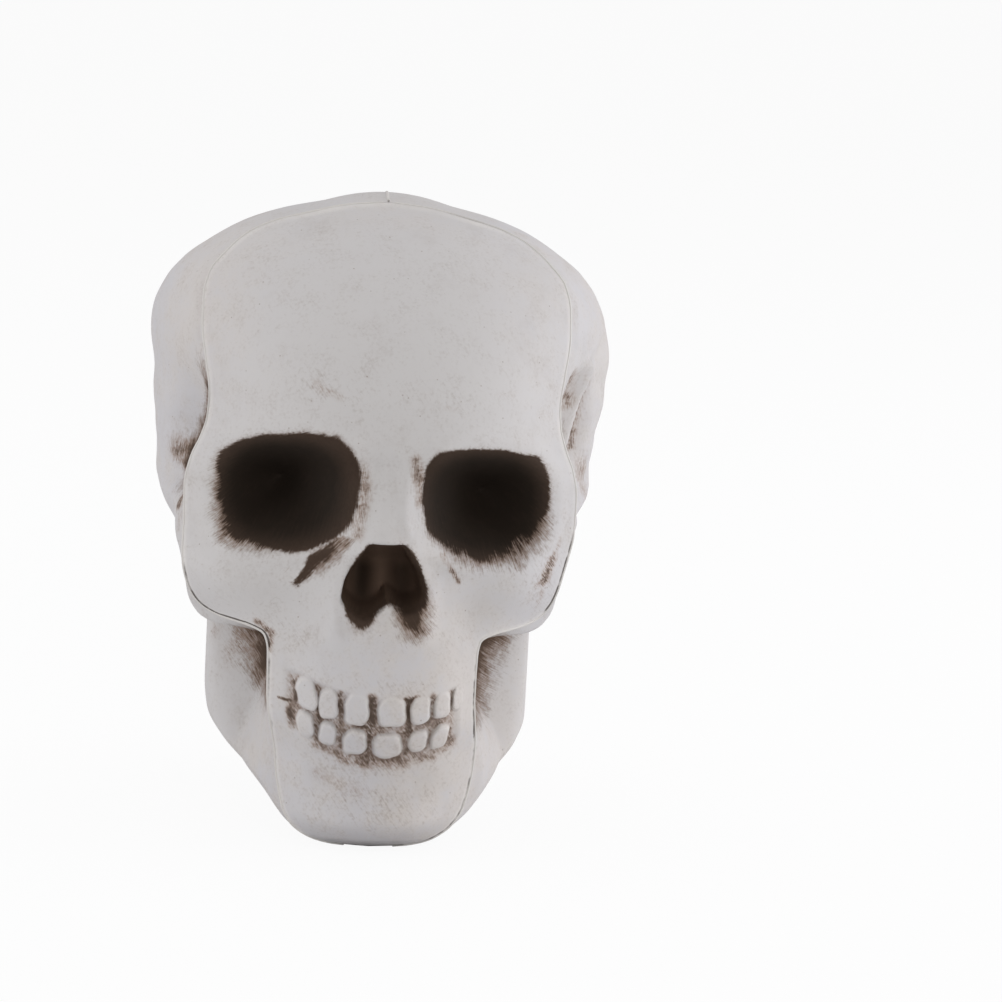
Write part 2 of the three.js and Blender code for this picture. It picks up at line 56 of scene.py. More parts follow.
# smooth line through given points, with no overshoot between them
def lineThrough(points):
    table = np.array(points, float)
    at, values = table[:, 0], table[:, 1:]
    gap = np.diff(at)
    step = np.diff(values, axis=0) / gap[:, None]
    slope = np.vstack([step[:1], np.zeros_like(step[1:]), step[-1:]])
    same = step[:-1] * step[1:] > 0
    both = np.where(same, step[:-1] + step[1:], 1)
    slope[1:-1] = np.where(same, 2 * step[:-1] * step[1:] / both, 0)

    def value(t, k=0):
        t = np.clip(t, at[0], at[-1])
        i = np.clip(np.searchsorted(at, t, side="right") - 1, 0, len(at) - 2)
        s = (t - at[i]) / gap[i]
        start = (1 + 2 * s) * (1 - s) ** 2 * values[i, k] + s * (1 - s) ** 2 * gap[i] * slope[i, k]
        end = s * s * (3 - 2 * s) * values[i + 1, k] + s * s * (s - 1) * gap[i] * slope[i + 1, k]
        return start + end

    return value


def ramp(low, high, value):
    t = np.clip((value - low) / (high - low), 0, 1)
    return t * t * (3 - 2 * t)


def hump(value, middle, reach):
    return np.exp(-((value - middle) / reach) ** 2)


# 1 from the end of a rising edge to the start of a falling one
def between(value, rising, falling):
    return ramp(*rising, value) * (1 - ramp(*falling, value))


# place along a straight line from 0 to 1, and the distance to it
def alongLine(x, z, start, end):
    run = np.subtract(end, start)
    t = np.clip(((x - start[0]) * run[0] + (z - start[1]) * run[1]) / (run @ run), 0, 1)
    return t, np.hypot(x - start[0] - t * run[0], z - start[1] - t * run[1])


# each mark of a list (start, end, width, level): its level on the line, 0 a width away
def marksAt(x, z, marks, spread=1):
    return np.array([
        level * (1 - ramp(0, spread * width, alongLine(x, z, start, end)[1])) for start, end, width, level in marks
    ])


# each soft spot of a list (middle, reach, level)
def spotsAt(x, z, spots):
    return np.array([
        level * hump(x, middle[0], reach[0]) * hump(z, middle[1], reach[1]) for middle, reach, level in spots
    ])


# sizes in millimetres, as the mouldings have them
face = dict(
    outline=[
        (0, 0), (0.8, 8), (2.7, 13.5), (5.2, 17), (9, 19.3), (16.8, 20.9), (30, 21.8), (42, 22), (45.2, 22.8),
        (46.6, 26), (47.4, 32.4), (48.6, 35.8), (51, 38.1), (54.3, 39.5), (58.5, 40.5), (66, 41.5), (74, 41.7),
        (80, 40.6), (84.5, 38.8), (89, 37.5), (93.5, 37.2), (100, 38.1), (108, 39.2), (113, 39.2), (118, 38.1),
        (122, 35), (126, 30.3), (129, 24), (131, 16.3), (132.5, 8.6), (133.2, 0),
    ],
    profile=[
        (0, 42), (3, 47.5), (8, 50.5), (14, 50.3), (20, 50), (29, 52.5), (38, 52), (46, 50.3), (54, 48), (64, 46),
        (74, 45.8), (82, 47.5), (88, 49.3), (94, 48.8), (102, 45.6), (110, 40.3), (118, 32.5), (124, 24.8),
        (129.5, 15.5), (133.2, 3),
    ],
    drop=[
        (0, 9), (8, 12), (20, 13), (30, 14), (46, 15), (54, 17), (66, 17), (76, 17.5), (85, 22), (93, 26),
        (102, 24), (112, 21.5), (120, 19.5), (129, 26), (133.2, 27),
    ],
    reach=[(0, 22), (8, 22), (30, 25), (38, 26), (46, 30.5), (54, 38), (62, 41), (133.2, 41)],
    creases=[  # on the bridge of the nose: start, end, width, rise
        ((3.0, 84.5), (4.4, 70.5), 2.6, 0.6), ((-2.4, 83), (-3.0, 71), 2.2, -0.25),
    ],
    swells=[  # cheekbone, beside the nose, chin, temple: middle, reach, rise
        ((33.5, 56.5), (8.5, 6.5), 3.4), ((18.5, 50.5), (6.5, 6), -2.6), ((6, 7), (7, 4.5), 1.2),
        ((36, 97), (7, 9), -1.2),
    ],
    bands=[  # mouth, crease over the chin: height, reach, where it fades across, rise
        (31, 13, (12, 21), 1.5), (15.5, 4.2, (8, 18), -1.5),
    ],
    brow=dict(z=84.5, tilt=0.06, bend=0.004, reach=4, rise=1.6, inner=(3, 12), outer=(28, 37)),
    bridge=dict(half=4.4, spread=0.32, spreadTop=79.6, spreadOver=16, rise=6, low=(60.2, 66.2), top=(67.5, 83.2)),
    sideShift=[(0, 0), (9, -0.9), (19, -0.8), (33, 1), (56, 1.2), (66, 0)], shiftFrom=(14, 24), shiftBack=(-35, -8),
    wall=2, ballShares=(0.5, 0.85, 1), ballTurns=12, dropPower=2.3, sharpAngle=62, rows=336, columns=236, innerEvery=6,
)
orbit = dict(
    x=21.3, zLeft=76.0, zRight=74.6, halfWide=14.3, halfTall=12.4, square=2.5, slope=0.1,
    depth=20.1, bowl=(-0.25, 1.03), bowlPower=0.8, rim=0.6, rimAt=1.16, rimReach=0.13,
)
nose = dict(
    floor=51.2, floorRight=52.6, top=66.2, spine=2.8, spineX=1.0, spineHalf=1, depth=12.6, edge=1.0, middle=0.45,
    lobeSpread=0.8, nostrils=[((4.6, 57.5), (2.6, 6), 3.0)],
    outline=[(44, 6.8), (49, 7.6), (54, 8.4), (58, 7.8), (63, 5.2), (66.2, 3.6), (68, 3.3)],
    rim=dict(away=1.5, reach=2.6, rise=1.8, low=(44, 50), top=(62, 68)),
)
# x and z of each tooth's middle, half width, half height, lean
teeth = dict(
    upper=[
        (-14.5, 33.5, 2.2, 2.8, 0.18), (-10.3, 32.1, 2.25, 2.65, 0.05), (-4.4, 31.5, 2.8, 2.95, 0.0),
        (3.0, 31.3, 3.3, 2.75, 0.0), (8.95, 31.6, 2.35, 2.5, -0.06), (13.7, 32.4, 2.0, 2.35, -0.1),
        (17.3, 33.5, 1.4, 2.2, -0.15),
    ],
    lower=[
        (-14.7, 27.6, 1.85, 3.1, 0.1), (-10.15, 26.3, 1.95, 2.85, 0.05), (-4.4, 24.9, 2.75, 3.2, 0.0),
        (2.4, 24.3, 3.4, 3.2, 0.0), (8.85, 25.4, 2.2, 2.75, -0.08), (13.5, 26.0, 2.0, 3.0, -0.2),
    ],
    gumTop=[
        (-18.5, 38.4), (-17, 38.2), (-12.5, 36.7), (-7.5, 35.5), (-0.8, 34.2), (6.2, 34.6), (11.4, 34.5), (15.6, 35.8),
        (19, 36.5),
    ],
    gumLow=[(-18.5, 26.4), (-12.6, 24.4), (-7.4, 22.2), (-1, 20.8), (6, 20.9), (11.3, 22.1), (15.6, 24.2), (19, 26.4)],
    rise=1.05, sink=1.15, square=2.7, root=1.55, uneven=0.11, waveUp=1.7, waveAcross=1.6, gumSoft=0.9,
    flank=(0.62, 1.08), rootFade=(-3.4, 1.0), trough=(0.78, 1.02), mouthMiddle=-0.6, mouthEnds=(16.5, 19),
)
crown = face["outline"][-1][0]
far = 9.0  # nowhere near, in the layers that hold a distance

faceWidth = lineThrough(face["outline"])
faceProfile = lineThrough(face["profile"])
faceDrop = lineThrough(face["drop"])
faceReach = lineThrough(face["reach"])
sideShift = lineThrough(face["sideShift"])
noseWidth = lineThrough(nose["outline"])
gumTop = lineThrough(teeth["gumTop"])
gumLow = lineThrough(teeth["gumLow"])


# 0 in the middle of a socket, 1 on its edge
def orbitDistance(x, z):
    dx = np.abs(x) - orbit["x"]
    dz = z - np.where(x < 0, orbit["zLeft"], orbit["zRight"]) + orbit["slope"] * dx
    n = orbit["square"]
    return (np.abs(dx / orbit["halfWide"]) ** n + np.abs(dz / orbit["halfTall"]) ** n) ** (1 / n)


def noseInside(x, z):
    soft = nose["edge"]
    beside = x - nose["spineX"]
    lobe = np.sin(np.pi * np.minimum(np.abs(beside) / (noseWidth(nose["floor"]) + nose["lobeSpread"]), 1))
    side = ramp(-soft, soft, noseWidth(z) - np.abs(x - nose["middle"]))
    floor = nose["floor"] + (nose["floorRight"] - nose["floor"]) * ramp(-nose["spineHalf"], nose["spineHalf"], beside)
    low = ramp(-soft, soft, z - floor - nose["spine"] * (1 - lobe))
    return side * low * ramp(-soft, soft, nose["top"] - z)


# distance to the nearest tooth as a share of its size; the upper teeth run up into the gum
def toothDistance(x, z):
    nearest = np.full(np.shape(x), far)
    n = teeth["square"]
    for row, root in (("upper", teeth["root"]), ("lower", 1.0)):
        for middleX, middleZ, halfWide, halfTall, lean in teeth[row]:
            waveX = teeth["uneven"] * np.sin(teeth["waveUp"] * z + middleX)
            waveZ = teeth["uneven"] * np.sin(teeth["waveAcross"] * x + 2 * middleZ)
            dx = (x - middleX + lean * (z - middleZ) + waveX) / halfWide
            dz = (z - middleZ + waveZ) / halfTall
            dz = np.where(dz > 0, dz / root, dz)
            nearest = np.minimum(nearest, (np.abs(dx) ** n + np.abs(dz) ** n) ** (1 / n))
    return nearest


# 1 in the band that the two rows of teeth take up
def mouthBand(x, z, soft):
    ends = 1 - ramp(*teeth["mouthEnds"], np.abs(x - teeth["mouthMiddle"]))
    return ramp(-soft, soft, gumTop(x) - z) * ramp(-soft, soft, z - gumLow(x)) * ends


def toothBump(x, z):
    away = toothDistance(x, z)
    raised = (1 - ramp(*teeth["flank"], away)) * (1 - ramp(*teeth["rootFade"], z - gumTop(x)))
    sunk = ramp(*teeth["trough"], away) * mouthBand(x, z, teeth["gumSoft"])
    return teeth["rise"] * raised - teeth["sink"] * sunk


def faceDepth(x, z):
    ax = np.abs(x)
    brow, bridge, rim = face["brow"], face["bridge"], nose["rim"]
    depth = faceProfile(z) - faceDrop(z) * (ax / faceReach(z)) ** face["dropPower"]
    browLine = brow["z"] + brow["tilt"] * ax - brow["bend"] * x * x
    depth += brow["rise"] * hump(z, browLine, brow["reach"]) * between(ax, brow["inner"], brow["outer"])
    half = bridge["half"] + bridge["spread"] * np.clip(bridge["spreadTop"] - z, 0, bridge["spreadOver"])
    depth += bridge["rise"] * hump(x, 0, half) * between(z, bridge["low"], bridge["top"])
    depth += rim["rise"] * hump(ax, noseWidth(z) + rim["away"], rim["reach"]) * between(z, rim["low"], rim["top"])
    depth += marksAt(x, z, face["creases"]).sum(axis=0)
    depth += spotsAt(ax, z, face["swells"]).sum(axis=0)
    for height, reach, fade, rise in face["bands"]:
        depth += rise * hump(z, height, reach) * (1 - ramp(*fade, ax))
    away = orbitDistance(x, z)
    depth += orbit["rim"] * hump(away, orbit["rimAt"], orbit["rimReach"])
    depth -= orbit["depth"] * (1 - ramp(*orbit["bowl"], away)) ** orbit["bowlPower"]
    depth -= noseInside(x, z) * (nose["depth"] + spotsAt(ax, z, nose["nostrils"]).sum(axis=0))
    return depth + toothBump(x, z)


# the inner skin of the face: a ball of the wall's radius rolled under the outer one
def faceInnerDepth(x, z):
    depth = faceDepth(x, z) - face["wall"]
    for share in face["ballShares"]:
        sink = face["wall"] * math.sqrt(1 - share * share)
        for turn in range(face["ballTurns"]):
            angle = math.tau * turn / face["ballTurns"]
            px = x + share * face["wall"] * math.cos(angle)
            pz = z + share * face["wall"] * math.sin(angle)
            within = (pz > 0) & (pz < crown) & (np.abs(px) <= faceWidth(pz))
            depth = np.where(within, np.minimum(depth, faceDepth(px, pz) - sink), depth)
    return depth


# the sides of the lower face sit a little to the left of its middle, and those of the chin to the right
def leftward(points):
    x, y, z = points[..., 0], points[..., 1], points[..., 2]
    shift = sideShift(z) * ramp(*face["shiftFrom"], np.abs(x)) * (1 - ramp(*face["shiftBack"], y))
    return np.stack([x - shift, y, z], -1)


rowSpacing = dict(samples=6000, across=0.5, extra=0.7, mouthLow=(16, 20), mouthTop=(38, 42))


# row heights at even steps along the seam, closer together over the teeth
def rowHeights(count):
    z = np.linspace(0, crown, rowSpacing["samples"])
    step = np.hypot(np.diff(z), rowSpacing["across"] * np.diff(faceWidth(z)))
    middle = (z[1:] + z[:-1]) / 2
    step *= 1 + rowSpacing["extra"] * between(middle, rowSpacing["mouthLow"], rowSpacing["mouthTop"])
    run = np.concatenate([[0], np.cumsum(step)])
    return np.interp(np.linspace(0, run[-1], count + 1), run, z)


# unit step to the inner side of a line of points
def inwardStep(line):
    along = np.gradient(line, axis=0)
    along /= np.linalg.norm(along, axis=1)[:, None]
    return np.stack([-along[:, 1], along[:, 0]], 1)


# inner edge of the seam's wall, and how far it leans back where the face is flat towards its edge
def seamInside(w, z):
    wall = face["wall"]
    seam = np.stack([w, z], 1)
    inner = seam + wall * inwardStep(seam)
    inner[0] = (0, wall)
    inner[-1] = (0, crown - wall)
    rise = (faceDepth(inner[:, 0], inner[:, 1]) - faceDepth(w, z)) / wall
    return inner, wall * (np.hypot(1, rise) - rise)


# faces between the fine outer grid, the coarse inner grid and their rims
def shellFaces(outerIds, innerIds, every, flip):
    faces = []

    def add(*corners):
        ring = [c for i, c in enumerate(corners) if c != corners[i - 1]]
        if len(ring) > 2:
            faces.append(tuple(reversed(ring)) if flip else tuple(ring))

    for ids, turn in ((outerIds, False), (innerIds, True)):
        for j in range(ids.shape[0] - 1):
            for i in range(ids.shape[1] - 1):
                ring = [ids[j, i], ids[j, i + 1], ids[j + 1, i + 1], ids[j + 1, i]]
                add(*(reversed(ring) if turn else ring))
    for column, turn in ((0, True), (-1, False)):
        fine, coarse = outerIds[:, column], innerIds[:, column]
        for j in range(len(coarse) - 1):
            half = j * every + every // 2
            for k in range(j * every, (j + 1) * every):
                ring = [fine[k], coarse[j] if k < half else coarse[j + 1], fine[k + 1]]
                add(*(reversed(ring) if turn else ring))
            ring = [fine[half], coarse[j], coarse[j + 1]]
            add(*(reversed(ring) if turn else ring))
    return faces


def shellMesh(name, outer, inner, every, flip, paint):
    rows, columns = outer.shape[:2]
    outerIds = np.arange(rows * columns).reshape(rows, columns)
    innerIds = rows * columns + np.arange(inner.shape[0] * inner.shape[1]).reshape(inner.shape[:2])
    for ids in (outerIds, innerIds):  # the first and last row are single points
        ids[0] = ids[0, 0]
        ids[-1] = ids[-1, 0]
    points = np.vstack([outer.reshape(-1, 3), inner.reshape(-1, 3)])
    faces = shellFaces(outerIds, innerIds, every, flip)
    used = np.unique(np.concatenate([np.array(f) for f in faces]))
    renumber = np.full(len(points), -1)
    renumber[used] = np.arange(len(used))
    placed = (points[used] + (0, earLineY, 0)) * mm
    mesh = bpy.data.meshes.new(name)
    mesh.from_pydata(placed.tolist(), [], [[int(renumber[c]) for c in f] for f in faces])
    mesh.validate()
    mesh.shade_smooth()
    mesh.set_sharp_from_angle(angle=math.radians(face["sharpAngle"]))
    for key, value in paint.items():
        vector = value.ndim == 3
        blank = np.full((inner.shape[0] * inner.shape[1], *value.shape[2:]), -far if key == "edge" else 0)
        painted = np.concatenate([value.reshape(-1, *value.shape[2:]), blank])[used]
        layer = mesh.attributes.new(key, "FLOAT_VECTOR" if vector else "FLOAT", "POINT")
        layer.data.foreach_set("vector" if vector else "value", painted.astype(np.float32).ravel())
    made = bpy.data.objects.new(name, mesh)
    bpy.context.scene.collection.objects.link(made)
    print(name, len(mesh.vertices), "points")
    return made


# brown wash on the face, with painted shade in the sockets and nostrils, painted light in the nose pit and a painted
# highlight along the seam; x to the viewer's right, z up, millimetres
faceWash = dict(
    shapes=[  # outline points carry x, z and how ragged the edge is there; hairs run away from the brush point
        dict(brush=(-5, 95), tone=0.94, outline=[
            (-35.2, 80.2, 0.9), (-32.7, 84.2, 0.4), (-26.9, 87.2, 0.45), (-21.4, 88.5, 0.5), (-16.1, 89.2, 0.5),
            (-11.8, 89.1, 0.55), (-8.2, 86.6, 0.5), (-5.4, 81.4, 0.6), (-5.7, 75.4, 0.6), (-7.6, 70.0, 0.6),
            (-11.7, 66.2, 0.5), (-16.1, 63.7, 0.4), (-19.4, 63.1, 0.4), (-23.5, 63.4, 0.9), (-28.1, 64.0, 1.3),
            (-32.5, 64.8, 1.6), (-34.1, 68.4, 1.6), (-34.7, 72.5, 1.5), (-35.2, 76.7, 1.2),
        ]),
        dict(brush=(6, 96), tone=0.94, outline=[
            (7.4, 76.3, 0.3), (7.5, 81.2, 0.4), (9.0, 85.4, 0.4), (12.3, 86.9, 0.3), (17.9, 87.1, 0.2),
            (23.6, 86.7, 0.2), (29.0, 85.2, 0.3), (32.2, 84.4, 0.4), (34.3, 81.4, 0.6), (35.4, 77.4, 0.6),
            (35.3, 72.2, 0.9), (33.7, 68.4, 2.2), (31.4, 65.8, 2.7), (28.0, 63.5, 2.5), (25.0, 62.8, 1.9),
            (20.3, 62.5, 1.4), (16.4, 63.9, 1.1), (12.2, 66.3, 0.9), (9.0, 69.7, 0.7), (8.2, 72.6, 0.4),
        ]),
        dict(brush=(-18, 86), tone=0.9, outline=[
            (-2.9, 66.9, 0.3), (-1.1, 66.8, 0.2), (0.9, 66.8, 0.2), (3.4, 67.0, 0.3), (5.4, 66.1, 0.3),
            (7.3, 63.2, 0.3), (8.8, 59.3, 0.3), (9.7, 56.7, 0.6), (9.9, 54.4, 1.1), (9.0, 51.8, 1.9),
            (7.6, 48.8, 2.2), (5.9, 48.3, 2.0), (4.2, 50.8, 1.6), (2.7, 53.3, 0.8), (1.5, 53.6, 0.5),
            (-0.3, 52.5, 0.4), (-1.4, 50.6, 0.5), (-2.4, 49.0, 0.6), (-3.9, 48.4, 0.7), (-5.9, 49.4, 0.6),
            (-7.2, 51.1, 0.4), (-7.9, 54.0, 0.2), (-8.0, 56.7, 0.2), (-7.1, 60.3, 0.2), (-5.5, 64.2, 0.2),
        ]),
        dict(brush=(18, 96), tone=0.88, outline=[
            (-18.3, 56.5, 0.3), (-17.2, 58.5, 0.2), (-16.0, 60.9, 0.2), (-15.6, 62.4, 0.3), (-14.4, 63.8, 0.6),
            (-12.0, 65.3, 1.2), (-9.5, 67.0, 1.6), (-8.5, 66.8, 1.8), (-9.8, 64.6, 1.6), (-11.5, 62.4, 1.4),
            (-13.5, 60.6, 1.2), (-15.4, 58.5, 0.8), (-16.6, 57.0, 0.4), (-17.4, 56.0, 0.3),
        ]),
    ],
    strokes=[  # start, end, width, strength
        ((-5.0, 83.0), (-4.2, 77.0), 2.6, 0.54), ((-4.2, 77.4), (-5.8, 68.6), 3.2, 0.50),
        ((5.6, 84.6), (6.7, 80.0), 2.8, 0.66), ((6.6, 80.4), (7.1, 75.0), 2.2, 0.50),
        ((14.6, 60.9), (16.4, 58.4), 1.3, 0.72), ((12.4, 64.4), (15.0, 60.4), 1.7, 0.42),
        ((37.4, 61.8), (36.0, 57.8), 2.6, 0.66), ((38.4, 66.0), (37.2, 61.0), 1.6, 0.40),
        ((36.2, 58.0), (35.2, 51.8), 2.2, 0.32), ((34.4, 57.0), (36.0, 58.4), 1.6, 0.45),
        ((-15.9, 98.9), (-10.8, 97.0), 2.6, 0.36), ((11.4, 95.6), (13.6, 95.0), 1.8, 0.26),
        ((22.5, 98.2), (26.0, 97.6), 2.0, 0.26), ((-12.0, 16.7), (-2.5, 13.6), 3.4, 0.34),
        ((-24.4, 47.6), (-21.6, 45.6), 1.8, 0.62), ((-21.6, 46.0), (-21.8, 42.0), 1.5, 0.58),
        ((20.2, 46.4), (21.6, 43.4), 1.5, 0.26), ((-13.8, 67.6), (-8.5, 66.8), 2.6, 0.42),
        ((-11.7, 67.9), (-8.8, 65.2), 2.0, 0.40), ((-24.6, 60.0), (-21.8, 63.0), 0.35, 0.34),
        ((-20.0, 58.5), (-17.2, 62.3), 0.35, 0.38), ((-23.3, 60.9), (-20.6, 63.6), 0.35, 0.30),
        ((-37.0, 58.8), (-35.0, 57.7), 0.35, 0.28), ((-32.6, 60.4), (-31.0, 62.5), 0.35, 0.25),
    ],
    gaps=[  # the same between the teeth and along the gums
        ((-16.9, 36.2), (-16.6, 32.6), 1.1, 1.00), ((-12.4, 34.0), (-12.1, 29.8), 1.0, 1.00),
        ((-11.8, 35.4), (-11.2, 35.3), 0.8, 0.76), ((-8.0, 35.1), (-7.5, 29.0), 1.3, 0.82),
        ((-1.4, 34.5), (-1.0, 28.8), 1.8, 1.00), ((-1.5, 28.1), (-1.5, 21.5), 1.3, 0.78),
        ((-6.3, 29.5), (-1.9, 28.3), 0.8, 1.00), ((-1.8, 27.7), (5.1, 29.3), 1.1, 0.74),
        ((5.9, 34.5), (8.2, 34.8), 1.1, 1.00), ((6.4, 34.4), (6.9, 27.7), 1.5, 1.00),
        ((11.6, 34.9), (12.0, 32.2), 1.3, 0.78), ((11.0, 30.6), (11.7, 27.8), 1.3, 0.64),
        ((15.6, 35.6), (15.6, 31.0), 0.7, 0.55), ((-12.8, 29.5), (-12.3, 24.5), 1.3, 0.64),
        ((-8.1, 28.4), (-7.2, 24.2), 1.2, 0.58), ((5.9, 26.9), (6.6, 22.2), 1.3, 0.78),
        ((11.2, 27.2), (11.8, 23.6), 1.3, 0.58), ((15.4, 27.7), (14.7, 22.7), 1.3, 0.54),
        ((-0.5, 20.9), (6.2, 20.6), 2.8, 0.66), ((-6.5, 21.3), (-1.3, 20.5), 3.0, 0.64),
        ((-11.8, 23.6), (-8.0, 22.0), 2.4, 0.60), ((7.0, 21.7), (12.0, 22.2), 3.0, 0.62),
        ((11.6, 23.2), (15.6, 24.6), 3.0, 0.60),
        ((-19.8, 32.3), (-17.7, 31.9), 0.5, 0.94), ((-17.8, 30.1), (-17.3, 26.4), 1.2, 0.78),
        ((-16.3, 30.3), (-12.5, 28.2), 1.1, 0.58), ((6.9, 29.3), (11.0, 29.3), 1.1, 0.70),
        ((-12.0, 29.4), (-6.9, 28.7), 0.9, 0.52), ((-17.5, 37.3), (-17.1, 34.9), 1.1, 0.58),
    ],
    stains=[  # middle, reach and strength of the speckled parts
        ((-2, 27.5), (19, 8.5), 0.6), ((0, 20.5), (18, 5), 0.6), ((-15, 36), (6, 6), 0.4), ((2, 37), (17, 3.4), 0.4),
        ((-12, 68), (7, 9), 0.45), ((8, 76), (5, 12), 0.4), ((-28, 62), (10, 6), 0.3), ((22, 60), (14, 6), 0.3),
        ((36, 58), (6, 9), 0.5), ((-20, 47), (10, 8), 0.35), ((16, 46), (12, 8), 0.3), ((0, 97), (30, 8), 0.28),
        ((-14, 98), (9, 5), 0.4), ((14, 96), (12, 4), 0.3), ((0, 12), (19, 9), 0.45), ((0, 115), (34, 16), 0.12),
    ],
    # painted shade in the nostrils, where the nose falls deepest into shade: start, end, width, strength
    nostrilShade=[((-3.4, 58.0), (-3.6, 53.4), 4.2, 0.8), ((4.8, 58.0), (5.0, 53.6), 3.8, 0.6)],
    inkLeft=[  # height, and how much ink the seam holds there
        (0, 0.6), (3, 0.3), (20, 0.35), (42, 0.4), (44, 1), (50, 1), (53, 0.6), (62, 0.25), (72, 0.3), (78, 0.1),
    ],
    inkRight=[
        (0, 0.6), (4, 0.5), (24, 0.66), (42, 0.58), (45, 0.2), (49, 0.2), (51, 0.75), (66, 0.72), (70, 0.25),
        (78, 0.1),
    ],
    plainRag=0.3, plainTone=0.97, plainStain=0.14, margin=6, fan=30, pitFrom=0.1, pitFull=0.5, pitSlope=3,
    pitPaintedLight=0.54, gapSpread=1.3, gapWash=0.6, gumSoft=1.2, rightEnd=(15.2, 17.5), rightFade=0.6,
    toothEdge=(0.86, 1.02), toothClear=0.92, toothStain=(0.75, 1.1), toothRub=(0.83, 0.075),
    seamHighlight=0.75, seamHighlightFade=(0.3, 0.95), seamInkFade=(0.25, 0.8),
    deepFrom=(0.58, 1.16), deepInside=(0.5, 7), deepReach=1.5,
)
hair = dict(wide=0.30, long=4.0, slant=(0.8, 0.6))


# closed smooth line through given points
def closedLine(points, steps=4):
    count = len(points)
    line = lineThrough([(i, *points[i % count]) for i in range(-2, count + 3)])
    t = np.arange(count * steps) / steps
    return np.stack([line(t, k) for k in range(len(points[0]))], 1)


# distance inside a closed line, and the value that its nearest point carries
def insideBy(x, z, ring):
    nearest = np.full(x.shape, np.inf)
    carried = np.zeros(x.shape)
    inside = np.zeros(x.shape, bool)
    for a, b in zip(ring, np.roll(ring, -1, axis=0)):
        t, gap = alongLine(x, z, a[:2], b[:2])
        carried = np.where(gap < nearest, a[2] + t * (b[2] - a[2]), carried)
        nearest = np.minimum(nearest, gap)
        if a[1] != b[1]:
            crossing = a[0] + (z - a[1]) * (b[0] - a[0]) / (b[1] - a[1])
            inside ^= ((a[1] > z) != (b[1] > z)) & (x < crossing)
    return np.where(inside, nearest, -nearest), carried


# texture space of the brush: short steps across the hairs, long ones along them
def hairsAlong(across, along, seed):
    return np.stack([across / hair["wide"], along / hair["long"], 0 * across + seed], -1)


def slantedHairs(x, z, seed, side=1):
    c, s = hair["slant"]
    return hairsAlong(c * x + s * side * z, c * z - s * side * x, seed)


# away is the distance to the seam in the front view
def facePaint(x, z, away):
    edge = np.full(x.shape, -far)
    rag = np.full(x.shape, faceWash["plainRag"])
    tone = np.full(x.shape, faceWash["plainTone"])
    brush = slantedHairs(x, z, 0)
    for seed, shape in enumerate(faceWash["shapes"]):
        ring = closedLine(shape["outline"])
        low = ring[:, :2].min(axis=0) - faceWash["margin"]
        high = ring[:, :2].max(axis=0) + faceWash["margin"]
        near = (x > low[0]) & (x < high[0]) & (z > low[1]) & (z < high[1])
        inside, ragged = insideBy(x[near], z[near], ring)
        dx, dz = x[near] - shape["brush"][0], z[near] - shape["brush"][1]
        hairs = hairsAlong(np.arctan2(dx, -dz) * faceWash["fan"], np.hypot(dx, dz), 7 + 9 * seed)
        first = inside > edge[near]
        edge[near] = np.where(first, inside, edge[near])
        rag[near] = np.where(first, ragged, rag[near])
        tone[near] = np.where(first, shape["tone"], tone[near])
        brush[near] = np.where(first[:, None], hairs, brush[near])
    pit = noseInside(x, z)
    inPit = faceWash["pitSlope"] * (pit - faceWash["pitFrom"])
    edge = np.where(inPit > 0, np.maximum(edge, inPit), edge)

    tooth = toothDistance(x, z)
    beyond = ramp(*faceWash["toothEdge"], tooth)
    clear = 1 - faceWash["toothClear"] * (1 - beyond)
    band = mouthBand(x, z, faceWash["gumSoft"])
    thin = faceWash["gapWash"] * beyond * band * (1 - faceWash["rightFade"] * ramp(*faceWash["rightEnd"], x))
    thin = np.maximum(thin, clear * marksAt(x, z, faceWash["strokes"]).max(axis=0))
    thin = np.maximum(thin, clear * marksAt(x, z, faceWash["gaps"], faceWash["gapSpread"]).max(axis=0))
    stain = np.maximum(faceWash["plainStain"], spotsAt(x, z, faceWash["stains"]).max(axis=0))
    stain *= 0.5 + 0.5 * ramp(*faceWash["toothStain"], tooth)
    # painted highlight: the face is lightened along its rim at the seam, where light catches the edge; the lighter
    # tooth rims are dry-brushed
    seamHighlight = faceWash["seamHighlight"] * (1 - ramp(*faceWash["seamHighlightFade"], away))
    rubAndHighlight = np.maximum(hump(tooth, *faceWash["toothRub"]) * band, seamHighlight)

    # painted shade: the wash darkens toward near black in the middle of each eye socket and in the nostrils, where the
    # recesses fall into shade
    socket = orbitDistance(x, z)
    inSocket = ramp(*faceWash["deepInside"], edge) * (socket < faceWash["deepReach"])
    nostrils = marksAt(x, z, faceWash["nostrilShade"]).max(axis=0)
    deep = np.maximum(np.maximum(1 - ramp(*faceWash["deepFrom"], socket), inSocket), nostrils)
    # painted light: the paint in the nose pit is lightened, standing in for the light of a shallower pit
    tone -= faceWash["pitPaintedLight"] * ramp(0, faceWash["pitFull"], pit) * (1 - nostrils)
    ink = np.where(x < 0, lineThrough(faceWash["inkLeft"])(z), lineThrough(faceWash["inkRight"])(z))
    ink *= 1 - ramp(*faceWash["seamInkFade"], away)
    return dict(edge=edge, rag=rag, tone=tone, thin=thin, brush=brush, deep=deep, ink=ink, stain=stain, rubAndHighlight=rubAndHighlight)


def seamDistance(x, z, seam):
    nearest = np.full(x.shape, np.inf)
    for a, b in zip(seam[:-1:2], seam[2::2]):
        nearest = np.minimum(nearest, alongLine(x, z, a, b)[1])
    return nearest


